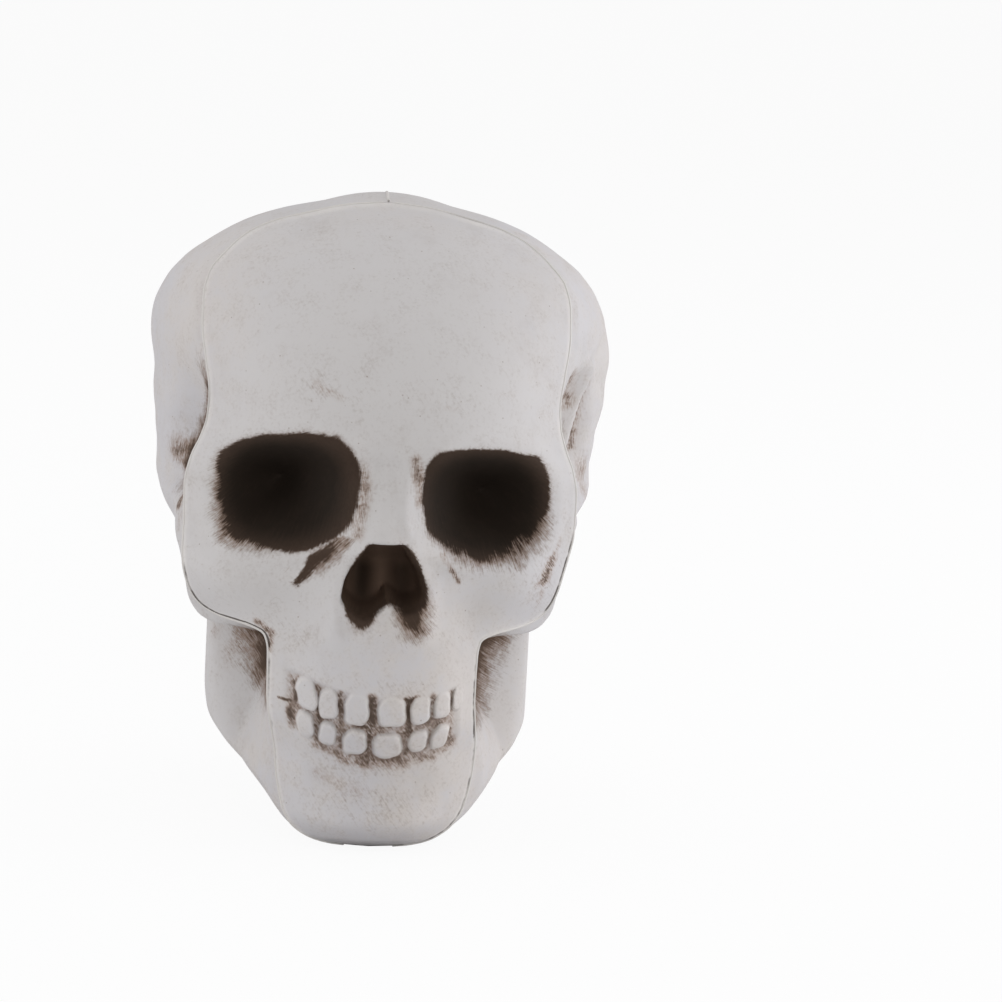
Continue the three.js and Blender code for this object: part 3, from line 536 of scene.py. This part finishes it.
# face: an open moulding, its inner skin coarser than the outer one
def makeFace():
    z = rowHeights(face["rows"])
    w = faceWidth(z)
    share = np.linspace(-1, 1, face["columns"] + 1)
    x = share[None, :] * w[:, None]
    zz = np.repeat(z[:, None], len(share), 1)
    outer = np.stack([x, -faceDepth(x, zz), zz], -1)
    every = face["innerEvery"]
    seamInner, lean = seamInside(w, z)
    coarse = seamInner[::every]
    innerShare = np.linspace(-1, 1, face["columns"] // every + 1)
    ix = innerShare[None, :] * coarse[:, :1]
    iz = np.repeat(coarse[:, 1:], len(innerShare), 1)
    inner = np.stack([ix, -faceInnerDepth(ix, iz), iz], -1)
    rim = (lean - faceDepth(w, z))[::every]
    inner[:, 0, 1] = inner[:, -1, 1] = rim
    inner[0, :, 1] = rim[0]
    inner[-1, :, 1] = rim[-1]
    away = seamDistance(np.abs(x), zz, np.stack([w, z], 1))
    return shellMesh("face_moulding", leftward(outer), leftward(inner), every, False, facePaint(x, zz, away))


# rear halves: lines by height, the jaw's by y or height
rear = dict(
    back=[
        (0, -42, 0), (1, -32, -2.2), (3, -6, -2.6), (6, 14, -2.6), (9, 26, -2.2), (12.5, 32, 1.5), (17, 34.5, 8),
        (25, 36, 18), (36, 37.5, 31), (44, 41, 41), (47.5, 45, 46.5), (52, 50.5, 53.5), (60, 56, 62),
        (70, 59.7, 72.5), (80, 61, 83.5), (93, 60.2, 94), (105, 56, 105), (112, 50.5, 112), (117.5, 44, 117.8),
        (122, 36.5, 123), (126, 28.5, 127.3), (129, 20, 130.5), (131, 12.5, 132.6), (132.5, 4.5, 134.6),
        (133.2, -3, 133.2),
    ],
    swell=[
        (0, 0), (44, 0), (47, 1), (52, 6), (58, 7), (64, 7), (72, 10), (80, 16.8), (90, 23.2), (100, 23.5),
        (108, 21.4), (114, 17.2), (119, 12.5), (124, 7.8), (129, 4), (131, 2.5), (133.2, 0),
    ],
    jawLow=[(-44, 8), (-36, 8.5), (-28, 10.5), (-20, 13.5), (-12, 17), (-5, 21.5), (0, 27), (5, 34)],
    jawWide=[(-42, 20.8), (-34, 24.4), (-26, 28.5), (-18, 32.4), (-11, 34.8), (-4, 35.4), (8, 34)],
    jawFront=[(10, -30), (24, -21), (34, -17.5), (46, -15), (58, -12)],
    folds={  # by side: start and end as y and z, width, rise
        1: [
            ((-12.6, 100), (-13.4, 84), 3.0, 2.1), ((-9.4, 98.5), (-11, 82), 3.4, -2.0),
            ((-16.8, 98), (-15.6, 93.5), 3.2, -1.1), ((-4.5, 92), (-10, 81.5), 4.5, 0.8),
            ((-1, 103.5), (-8.5, 100), 4.5, -1.0), ((4, 97.5), (3, 93), 10.5, 1.5),
            ((-25, 64.8), (0, 66.2), 6, -2.3),
        ],
        -1: [
            ((-14.4, 41), (-17.4, 24), 3.2, 0.7), ((-12.6, 41), (-13.6, 31), 3.2, -0.6),
            ((-25, 65.5), (-13, 66.5), 4.5, -1.0),
        ],
    },
    hollows=[((-17, 83), (8.5, 12.5), -7.5), ((-8, 54.5), (10.5, 5.5), -7)],  # temple, under the cheek arch
    ears=[((11, 73.5), (8, 6), 1.6)],
    arch=dict(y=-28, z=65.5, slope=0.16, reach=4.6, rise=2.8, front=(-36, -22), back=(2, 20)),
    jaw=dict(low=(-6.5, 5), backY=6.5, backZ=25, backLean=0.06, back=(-6.5, 6.5), front=(-6, 6), top=(50, 58),
             body=(10, 36), blend=3),
    cheek=dict(y=-28, z=48.5, lip=1.2, lipTall=4, lipLong=6.5, drop=2.6, dropLong=9, low=(44, 46), top=(51, 57)),
    gap=0.4, closePower=2.1, swellPower=2.2, seamBlend=0.055, evenSteps=0.4, rows=300, columns=126, innerEvery=3,
)
earLineY = cadHigh.y / mm - max(row[1] for row in rear["back"])  # the ear line in the part's frame

backLine = lineThrough(rear["back"])
sideSwell = lineThrough(rear["swell"])
jawLow = lineThrough(rear["jawLow"])
jawWide = lineThrough(rear["jawWide"])
jawFront = lineThrough(rear["jawFront"])


def jawInside(y, z):
    jaw = rear["jaw"]
    low = ramp(*jaw["low"], z - jawLow(y))
    back = 1 - ramp(*jaw["back"], y - jaw["backY"] - jaw["backLean"] * (z - jaw["backZ"]))
    branch = ramp(*jaw["front"], y - jawFront(z)) * (1 - ramp(*jaw["top"], z))
    return low * back * np.maximum(1 - ramp(*jaw["body"], z), branch)


# half width of the head behind the seam; share runs from the seam to the back line
def sideWidth(side, share, y, z, seamX, seamZ):
    arch, cheek = rear["arch"], rear["cheek"]
    close = np.sqrt(np.maximum(0, 1 - share ** rear["closePower"]))
    x = close * (seamX + sideSwell(seamZ) * (1 - (1 - share) ** rear["swellPower"]))
    x += close * spotsAt(y, z, rear["hollows"]).sum(axis=0)
    archLine = arch["z"] + arch["slope"] * (y - arch["y"])
    x += close * arch["rise"] * hump(z, archLine, arch["reach"]) * between(y, arch["front"], arch["back"])
    x += close * marksAt(y, z, rear["folds"][side]).sum(axis=0)
    x += spotsAt(y, z, rear["ears"]).sum(axis=0)
    x += cheek["lip"] * hump(seamZ, cheek["z"], cheek["lipTall"]) * hump(y, cheek["y"], cheek["lipLong"])
    x += np.maximum(0, jawWide(y) - x) * jawInside(y, z) * np.minimum(1, rear["jaw"]["blend"] * close)
    return seamX + (x - seamX) * ramp(0, rear["seamBlend"], share)


# wash on the rear halves, by side, darkened with painted shade deep in the hollows: lines give how far back it reaches
# at each height
rearWash = {
    -1: dict(
        hollow=[(23, -27), (27, -23.6), (32.7, -20), (38, -18.1), (41, -16.8), (46, -15.2)],
        # dark: how much painted shade darkens the wash deep in the hollow behind the seam
        hollowRag=1.8, dark=0.9, tone=0.94, low=31,
        temple=[
            (74, -15), (76.2, -11.6), (78.4, -11.8), (81, -13), (85, -14.6), (88.5, -16.8), (91.5, -18.4),
            (95.5, -20.6),
        ],
        patches=[  # middle and reach along y and z, strength
            # the first patch is painted shade in the hollow under the temple's bulge
            ((-10.2, 78.5), (3.8, 3.8), 0.62), ((-25.6, 66), (1.6, 3.6), 0.35), ((-16.2, 37), (3.4, 7), 0.44),
            ((-12.6, 39.5), (2, 3.6), 0.34), ((-4, 92), (8, 9), 0.10),
        ],
        strokes=[((-22.8, 71.4), (-24, 69), 2.6, 0.74)],  # start and end as y and z, width, strength
    ),
    1: dict(
        hollow=[
            (22, -26), (25.4, -23), (27.2, -22), (29.3, -21), (32, -19.6), (35.3, -18), (38.5, -17), (40, -15.6),
            (46, -14.6),
        ],
        hollowRag=1.8, dark=0.4, tone=0.88, low=28,
        temple=[(80, -26), (84, -17), (88, -16.6), (93, -22)],
        patches=[((-7.3, 77.5), (4, 4.6), 0.48), ((-6.5, 72), (4, 4), 0.46), ((-4, 90), (6, 7), 0.12)],
        strokes=[
            # the second and third strokes follow the valley behind the temple's crest: brown wash, darkened as painted
            # shade
            ((-17.2, 98.6), (-15.4, 92.8), 3.4, 0.6), ((-7.6, 97.5), (-9.4, 88.5), 2.2, 0.46),
            ((-9.9, 87.5), (-10.2, 82.5), 1.8, 0.68),
        ],
    ),
}
washEdge = dict(  # the same on both sides; the jaw's wash ends at the split
    split=60, lowSlope=0.6, cheekZ=45.6, cheekSlope=2, endSlope=0.45, templeRag=1.3, templeTone=0.85, darkOver=3,
    plainStain=0.12, edgeStain=0.5, stainOver=5, thinStain=0.4, rimLift=0.3, liftOver=5,
)


def rearPaint(side, y, z, seamZ):
    wash = rearWash[side]
    jaw = z < washEdge["split"]
    lowEnd = washEdge["lowSlope"] * (z - wash["low"])
    cheekEnd = washEdge["cheekSlope"] * (washEdge["cheekZ"] - seamZ)
    hollow = np.minimum(lineThrough(wash["hollow"])(z) - y, np.minimum(lowEnd, cheekEnd))
    templeLow, templeHigh = wash["temple"][0][0], wash["temple"][-1][0]
    ends = washEdge["endSlope"] * np.minimum(z - templeLow, templeHigh - z)
    temple = np.minimum(lineThrough(wash["temple"])(z) - y, ends)
    edge = np.clip(np.maximum(hollow, temple), -far, far)
    rag = np.where(jaw, wash["hollowRag"], washEdge["templeRag"])
    thin = np.maximum(spotsAt(y, z, wash["patches"]).max(axis=0), marksAt(y, z, wash["strokes"]).max(axis=0))
    upright = hairsAlong(y, z, 52 + 10 * side)
    brush = np.where(jaw[..., None], slantedHairs(y, z, 50 + 10 * side, side), upright)
    # painted shade: the wash darkens deeper into the hollow behind the seam, where the face's edge shades it
    deep = wash["dark"] * np.clip(hollow / washEdge["darkOver"], 0, 1)
    nearWash = np.clip(1 + edge / washEdge["stainOver"], 0, 1)
    stain = np.maximum(washEdge["plainStain"], washEdge["edgeStain"] * nearWash) + washEdge["thinStain"] * thin
    lift = washEdge["rimLift"] * (1 - ramp(0, washEdge["liftOver"], hollow))
    tone = np.where(jaw, wash["tone"] - lift, washEdge["templeTone"])
    return dict(edge=edge, rag=rag, tone=tone, thin=thin, brush=brush, deep=deep, ink=0 * z, stain=stain, rubAndHighlight=0 * z)


# rear half: rows run from the seam to the middle of the back
def makeRear(name, side):
    cheek, gap, wall = rear["cheek"], rear["gap"], face["wall"]
    z = rowHeights(rear["rows"])
    w = faceWidth(z)
    depth = faceDepth(w, z)
    t = np.linspace(0, 1, rear["columns"] + 1)
    even = rear["evenSteps"]
    share = (even * t + (1 - even) * ramp(0, 1, t))[None, :] * np.ones((len(z), 1))
    y0 = (gap - depth)[:, None]
    y = y0 + (backLine(z, 0)[:, None] - y0) * share
    zz = z[:, None] + (backLine(z, 1) - z)[:, None] * share
    x = sideWidth(side, share, y, zz, w[:, None], z[:, None])
    turn = np.maximum(0, faceWidth(z + 0.5) - faceWidth(z - 0.5))  # the cheek hangs where its seam turns in
    hang = cheek["drop"] * turn / np.hypot(turn, 1) * between(z, cheek["low"], cheek["top"])
    zz = zz - hang[:, None] * hump(y, cheek["y"], cheek["dropLong"]) * ramp(0, rear["seamBlend"], share)
    outer = np.stack([np.maximum(x, gap / 2), y, np.maximum(zz, 0)], -1)
    inward = np.cross(np.gradient(outer, axis=0), np.gradient(outer, axis=1))
    inward /= np.maximum(np.linalg.norm(inward, axis=-1), 1e-9)[..., None]
    every = rear["innerEvery"]
    inner = (outer + wall * inward)[::every, ::every].copy()
    seamInner, lean = seamInside(w, z)
    inner[:, 0] = np.stack([seamInner[:, 0], gap + lean - depth, seamInner[:, 1]], 1)[::every]
    back = np.stack([backLine(z, 0), np.maximum(0, backLine(z, 1))], 1)
    backInner = back + wall * inwardStep(back)
    inner[:, -1] = np.stack([np.full(len(z), gap / 2), backInner[:, 0], backInner[:, 1]], 1)[::every]
    inner[..., 0] = np.maximum(inner[..., 0], gap / 2)
    inner[..., 2] = np.maximum(inner[..., 2], wall)
    paint = rearPaint(side, y, zz, z[:, None])
    outer[..., 0] *= side
    inner[..., 0] *= side
    return shellMesh(name, leftward(outer), leftward(inner), every, side < 0, paint)


# a node socket that can be used in sums
class Sock:
    def __init__(self, tree, socket=None):
        self.tree = tree
        self.socket = socket

    def node(self, kind, settings=None, links=None, out=0):
        made = self.tree.nodes.new(kind)
        for key, value in (settings or {}).items():
            setattr(made, key, value)
        for key, value in (links or {}).items():
            if isinstance(value, Sock):
                value.feed(made, key)
            else:
                made.inputs[key].default_value = value
        return Sock(self.tree, made.outputs[out])

    def feed(self, node, key):
        self.tree.links.new(self.socket, node.inputs[key])

    def maths(self, operation, *values):
        return self.node("ShaderNodeMath", {"operation": operation}, dict(enumerate(values)))

    def step(self, low, high):
        settings = {"interpolation_type": "SMOOTHSTEP"}
        links = {"Value": self, "From Min": low, "From Max": high}
        return self.node("ShaderNodeMapRange", settings, links)

    def mix(self, low, high):
        links = {0: self, 6: low, 7: high}
        return self.node("ShaderNodeMix", {"data_type": "RGBA"}, links, out=2)

    def __add__(self, other):
        return self.maths("ADD", self, other)

    def __sub__(self, other):
        return self.maths("SUBTRACT", self, other)

    def __rsub__(self, other):
        return self.maths("SUBTRACT", other, self)

    def __mul__(self, other):
        return self.maths("MULTIPLY", self, other)

    __radd__ = __add__
    __rmul__ = __mul__


def srgb(*levels):
    return (*(((v / 255 + 0.055) / 1.055) ** 2.4 if v > 10 else v / 255 / 12.92 for v in levels), 1)


def startMaterial(name):
    material = bpy.data.materials.new(name)
    material.use_nodes = True
    tree = material.node_tree
    shader = tree.nodes["Principled BSDF"]
    return material, Sock(tree), shader


bone = dict(
    base=srgb(200, 197, 196), warm=srgb(204, 196, 190), cool=srgb(196, 194, 199), dust=srgb(150, 138, 130),
    # the lightest colour here serves rubbed tooth rims and the painted highlight along the seam; the near-black one is
    # painted shade in the deepest recesses
    rubbedAndHighlit=srgb(222, 218, 214), wash=srgb(50, 39, 32), brown=srgb(64, 51, 43), deep=srgb(25, 21, 17),
    stain=srgb(125, 103, 88), veil=srgb(60, 49, 41), film=srgb(152, 129, 114),
    roughness=0.56, bump=0.06, bumpDepth=0.0004, ior=1.46, specular=0.13,
)


def bonePlastic():
    material, start, shader = startMaterial("bone_plastic")
    place = start.node("ShaderNodeTexCoord", out="Object")

    def noise(scale, detail=3, where=place, rough=0.55, twist=0):
        links = {"Vector": where, "Scale": scale, "Detail": detail, "Roughness": rough, "Distortion": twist}
        return start.node("ShaderNodeTexNoise", None, links)

    def layer(name, out="Fac"):
        return start.node("ShaderNodeAttribute", {"attribute_name": name}, out=out)

    def dots(scale, size):
        links = {"Vector": place, "Scale": scale}
        return 1 - start.node("ShaderNodeTexVoronoi", None, links, out="Distance").step(size * 0.6, size)

    edge, rag, tone, thin, deep = (layer(key) for key in ("edge", "rag", "tone", "thin", "deep"))
    ink, stain, rubAndHighlight = (layer(key) for key in ("ink", "stain", "rubAndHighlight"))
    brush = layer("brush", "Vector")
    hairs = noise(1.0, 2, brush, 0.6) - 0.5
    wisps = noise(2.4, 2, brush, 0.6) - 0.5
    grain = noise(1500, 2) - 0.5
    lump = noise(300, 3) - 0.5
    patch = noise(60, 3) - 0.5
    reach = edge + rag * (hairs * 2.0 + wisps * 1.6 + lump * 2.4) + grain * 0.6
    solid = reach.step(-0.15 - 0.3 * rag, 0.2 + 0.5 * rag)
    fringe = edge + rag * (hairs * 1.4 + wisps * 2.4 + lump * 2.2 + 0.5) + grain * 1.6
    halo = fringe.step(-0.3 - rag * 1.1, 0.5 + rag * 0.3)
    veil = (thin * (1 + wisps * 2.2 + hairs * 0.8 + grain * 0.9 + lump * 1.6)).step(0.02, 0.98)
    inked = (ink * (1 + patch * 2.5 + lump * 2)).step(0.32, 0.75)
    mottle = noise(170, 4, rough=0.75) - 0.5
    fibres = noise(800, 3, rough=0.7, twist=1.2) - 0.5
    speckle = (fibres * 1.1 + hairs * 1.2 + grain * 0.7 + mottle * 0.8 + stain * 0.55).step(0.12, 0.76)
    clouds = noise(75, 5, rough=0.72).step(0.52, 0.8)
    smudge = clouds * 0.2 + dots(300, 0.06) * 0.7 + (mottle + grain).step(-0.05, 0.5) * 0.25

    # layers of colour, from the bare plastic up
    hue = (noise(26, 4) + mottle * 0.6).step(0.32, 0.68).mix(bone["cool"], bone["warm"])
    plain = (noise(9, 2).step(0.35, 0.65) * 0.6).mix(bone["base"], hue)
    dusty = smudge.mix(plain, bone["dust"])
    # lighter colour: dry-brushed tooth rims, and a painted highlight along the seam's rim
    rubbedAndHighlit = (rubAndHighlight * (0.5 + patch * 2)).mix(dusty, bone["rubbedAndHighlit"])
    stained = (speckle * stain * 0.85).mix(rubbedAndHighlit, bone["stain"])
    haloed = (halo * (0.35 + 0.5 * rag.step(0.3, 1.5))).mix(stained, bone["stain"])
    film = (veil.step(0, 0.9) * 0.9).mix(haloed, bone["film"])
    veiled = (veil.step(0.4, 1.2) * 0.95).mix(film, bone["veil"])
    lined = (inked * 0.85).mix(veiled, bone["wash"])
    under = solid.mix(lined, bone["stain"])
    browned = (lump * 1.6 + grain + 0.4).mix(bone["wash"], bone["brown"])
    # the brown wash, darkened toward near black as painted shade in the deepest recesses
    dark = (deep.step(0, 1) + hairs * 0.55 + lump * 0.6 - dots(340, 0.05) * 0.6).mix(browned, bone["deep"])
    (solid * tone).mix(under, dark).feed(shader, "Base Color")

    shine = bone["roughness"] + patch * 0.12 + solid * 0.2
    shine.feed(shader, "Roughness")
    height = noise(320, 3) * 0.6 + noise(1400, 2) * 0.4
    bump = {"Strength": bone["bump"], "Distance": bone["bumpDepth"], "Height": height}
    start.node("ShaderNodeBump", None, bump).feed(shader, "Normal")
    shader.inputs["IOR"].default_value = bone["ior"]
    shader.inputs["Specular IOR Level"].default_value = bone["specular"]
    return material


# bead of flash in the seams, made along their paths
bead = dict(
    radius=0.31, uneven=0.35, step=0.5, sides=7, seed=3, rows=260, trim=4, footGap=0.4,
    noiseScale=160, noiseDetail=3, swing=2, thinnest=0.65,
    colour=srgb(206, 202, 198), inkScale=42, inkFrom=(0.58, 0.75), inkShare=0.25, roughness=0.5,
)


def seamPaths():
    z = rowHeights(bead["rows"])[bead["trim"]:-1]
    w = faceWidth(z)
    y = rear["gap"] / 2 - faceDepth(w, z)
    left = np.stack([w, y, z], 1)
    right = left * (-1, 1, 1)
    back = np.stack([0 * z, backLine(z, 0), backLine(z, 1)], 1)
    back = back[back[:, 2] > bead["footGap"]]
    return [leftward(left), leftward(right), back]


def pathMesh(name, lines):
    points, edges = [], []
    for line in lines:
        start = len(points)
        points += ((line + (0, earLineY, 0)) * mm).tolist()
        edges += [(start + i, start + i + 1) for i in range(len(line) - 1)]
    mesh = bpy.data.meshes.new(name)
    mesh.from_pydata(points, edges, [])
    made = bpy.data.objects.new(name, mesh)
    bpy.context.scene.collection.objects.link(made)
    return made


def beadTree(material):
    tree = bpy.data.node_groups.new("seamBead", "GeometryNodeTree")
    sockets = tree.interface
    sockets.new_socket("Geometry", in_out="INPUT", socket_type="NodeSocketGeometry")
    sizes = {}
    for label in ("Radius", "Uneven", "Step", "Sides", "Seed"):
        kind = "NodeSocketInt" if label == "Sides" else "NodeSocketFloat"
        sizes[label] = sockets.new_socket(label, in_out="INPUT", socket_type=kind).identifier
    sockets.new_socket("Geometry", in_out="OUTPUT", socket_type="NodeSocketGeometry")
    start = Sock(tree)
    entry = tree.nodes.new("NodeGroupInput")
    paths, radius, uneven, step, sides, seed = (Sock(tree, socket) for socket in entry.outputs[:6])
    curve = start.node("GeometryNodeMeshToCurve", None, {"Mesh": paths})
    curve = start.node("GeometryNodeResampleCurve", {"mode": "LENGTH"}, {"Curve": curve, "Length": step})
    wave = {"W": seed, "Scale": bead["noiseScale"], "Detail": bead["noiseDetail"]}
    wave = start.node("ShaderNodeTexNoise", {"noise_dimensions": "4D"}, wave)
    width = start.maths("MULTIPLY_ADD", wave * bead["swing"], uneven, bead["thinnest"]) * radius
    circle = start.node("GeometryNodeCurvePrimitiveCircle", None, {"Resolution": sides, "Radius": 1})
    sweep = {"Curve": curve, "Profile Curve": circle, "Scale": width, "Fill Caps": True}
    swept = start.node("GeometryNodeCurveToMesh", None, sweep)
    swept = start.node("GeometryNodeRealizeInstances", None, {"Geometry": swept})
    swept = start.node("GeometryNodeSetMaterial", None, {"Geometry": swept, "Material": material})
    swept.feed(tree.nodes.new("NodeGroupOutput"), "Geometry")
    return tree, sizes


def flashPlastic():
    material, start, shader = startMaterial("seam_flash_plastic")
    place = start.node("ShaderNodeTexCoord", out="Object")
    ink = start.node("ShaderNodeTexNoise", None, {"Vector": place, "Scale": bead["inkScale"], "Detail": 3})
    inked = ink.step(*bead["inkFrom"]) * bead["inkShare"]
    inked.mix(bead["colour"], bone["wash"]).feed(shader, "Base Color")
    shader.inputs["Roughness"].default_value = bead["roughness"]
    return material


def makeBead(material):
    made = pathMesh("seam_flash", seamPaths())
    tree, sizes = beadTree(material)
    modifier = made.modifiers.new("seamBead", "NODES")
    modifier.node_group = tree
    for label, value in (("Radius", bead["radius"] * mm), ("Uneven", bead["uneven"]), ("Step", bead["step"] * mm),
                         ("Sides", bead["sides"]), ("Seed", float(bead["seed"]))):
        modifier[sizes[label]] = value
    bpy.context.view_layer.update()
    evaluated = made.evaluated_get(bpy.context.evaluated_depsgraph_get())
    plain = bpy.data.meshes.new_from_object(evaluated)
    made.modifiers.clear()
    made.data = plain
    plain.shade_smooth()
    print("seam_flash", len(plain.vertices), "points")
    return made


boneMaterial = bonePlastic()
flashMaterial = flashPlastic()
print("materials ready")

pieces = [
    (makeFace(), "face_shell"),
    (makeRear("left_rear_moulding", 1), "left_rear_shell"),
    (makeRear("right_rear_moulding", -1), "right_rear_shell"),
]
for piece, node in pieces:
    piece.data.materials.append(boneMaterial)
    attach(piece, "root")
    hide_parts(node)
flash = makeBead(flashMaterial)
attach(flash, "root")

# camera a little above and to the left of the face, rolled as the photograph is
view = dict(
    azimuth=-3.3, elevation=10, roll=2.8, distance=900, pixelsPerMm=4.55, picture=1002,
    target=(0, 0, 68), targetPixel=(373.5, 496.5), sensor=36, clip=(0.05, 20),
)


def makeCamera():
    a, e, r = (math.radians(view[k]) for k in ("azimuth", "elevation", "roll"))
    back = Vector((math.sin(a) * math.cos(e), -math.cos(a) * math.cos(e), math.sin(e)))
    right = Vector((0, 0, 1)).cross(back).normalized()
    up = back.cross(right)
    rolledRight = math.cos(r) * right + math.sin(r) * up
    rolledUp = math.cos(r) * up - math.sin(r) * right
    focal = view["distance"] * view["pixelsPerMm"]
    across = (view["picture"] / 2 - view["targetPixel"][0]) / focal
    down = (view["picture"] / 2 - view["targetPixel"][1]) / focal
    ahead = (across * rolledRight - down * rolledUp - back).normalized()
    side = (rolledRight - rolledRight.dot(ahead) * ahead).normalized()
    turn = Matrix((side, side.cross(ahead), -ahead)).transposed()
    data = bpy.data.cameras.new("camera")
    data.sensor_width = view["sensor"]
    data.lens = view["sensor"] * focal / view["picture"]
    data.clip_start, data.clip_end = view["clip"]
    camera = bpy.data.objects.new("camera", data)
    target = (Vector(view["target"]) + Vector((0, earLineY, 0))) * mm
    camera.matrix_world = Matrix.Translation(target + back * view["distance"] * mm) @ turn.to_4x4()
    bpy.context.scene.collection.objects.link(camera)
    bpy.context.scene.camera = camera


studio = dict(
    world=0.52, white=(1, 1, 1, 1), floorHalf=6.0, paper=(0.8, 0.8, 0.8, 1), glow=0.93,
    lamps=[  # name, place, aim, size, watts, colour
        ("key", (0.2, -0.95, 0.35), (0, 0, 0.06), 0.7, 2.05, (1, 0.99, 0.97)),
        ("fill", (0.94, 0.14, 0.1), (0, 0, 0.06), 0.8, 7.7, (0.94, 0.95, 1)),
        ("side", (-0.93, 0.03, 0.03), (0, 0, 0.05), 0.8, 5.7, (0.98, 0.98, 1)),
        ("top", (0.0, 0.15, 1.05), (0, 0, 0.07), 0.9, 3.0, (0.94, 0.95, 1)),
    ],
)


# white to the camera, plain grey light for the rest
def seenDirectly(start):
    return start.node("ShaderNodeLightPath", out="Is Camera Ray")


def makeStudio():
    world = bpy.data.worlds.new("studio")
    bpy.context.scene.world = world
    world.use_nodes = True
    start = Sock(world.node_tree)
    strength = studio["world"] + seenDirectly(start) * (1 - studio["world"])
    background = world.node_tree.nodes["Background"]
    background.inputs["Color"].default_value = studio["white"]
    strength.feed(background, "Strength")
    for name, place, aim, size, watts, colour in studio["lamps"]:
        data = bpy.data.lights.new(name, "AREA")
        data.size = size
        data.energy = watts
        data.color = colour
        lamp = bpy.data.objects.new(name, data)
        lamp.location = place
        lamp.rotation_mode = "QUATERNION"
        lamp.rotation_quaternion = (Vector(aim) - Vector(place)).to_track_quat("-Z", "Y")
        bpy.context.scene.collection.objects.link(lamp)
    half = studio["floorHalf"]
    mesh = bpy.data.meshes.new("floor")
    mesh.from_pydata([(-half, -half, 0), (half, -half, 0), (half, half, 0), (-half, half, 0)], [], [(0, 1, 2, 3)])
    floor = bpy.data.objects.new("floor", mesh)
    bpy.context.scene.collection.objects.link(floor)
    material, start, shader = startMaterial("floor_paper")
    shader.inputs["Base Color"].default_value = studio["paper"]
    shader.inputs["Roughness"].default_value = 1
    glow = start.node("ShaderNodeEmission", None, {"Color": studio["white"], "Strength": 1.0})
    matt = Sock(start.tree, shader.outputs[0])
    mixed = start.node("ShaderNodeMixShader", None, {0: seenDirectly(start) * studio["glow"], 1: matt, 2: glow})
    mixed.feed(start.tree.nodes["Material Output"], "Surface")
    mesh.materials.append(material)
    bpy.context.scene.view_settings.view_transform = "Standard"


makeCamera()
makeStudio()
print("camera and studio ready")
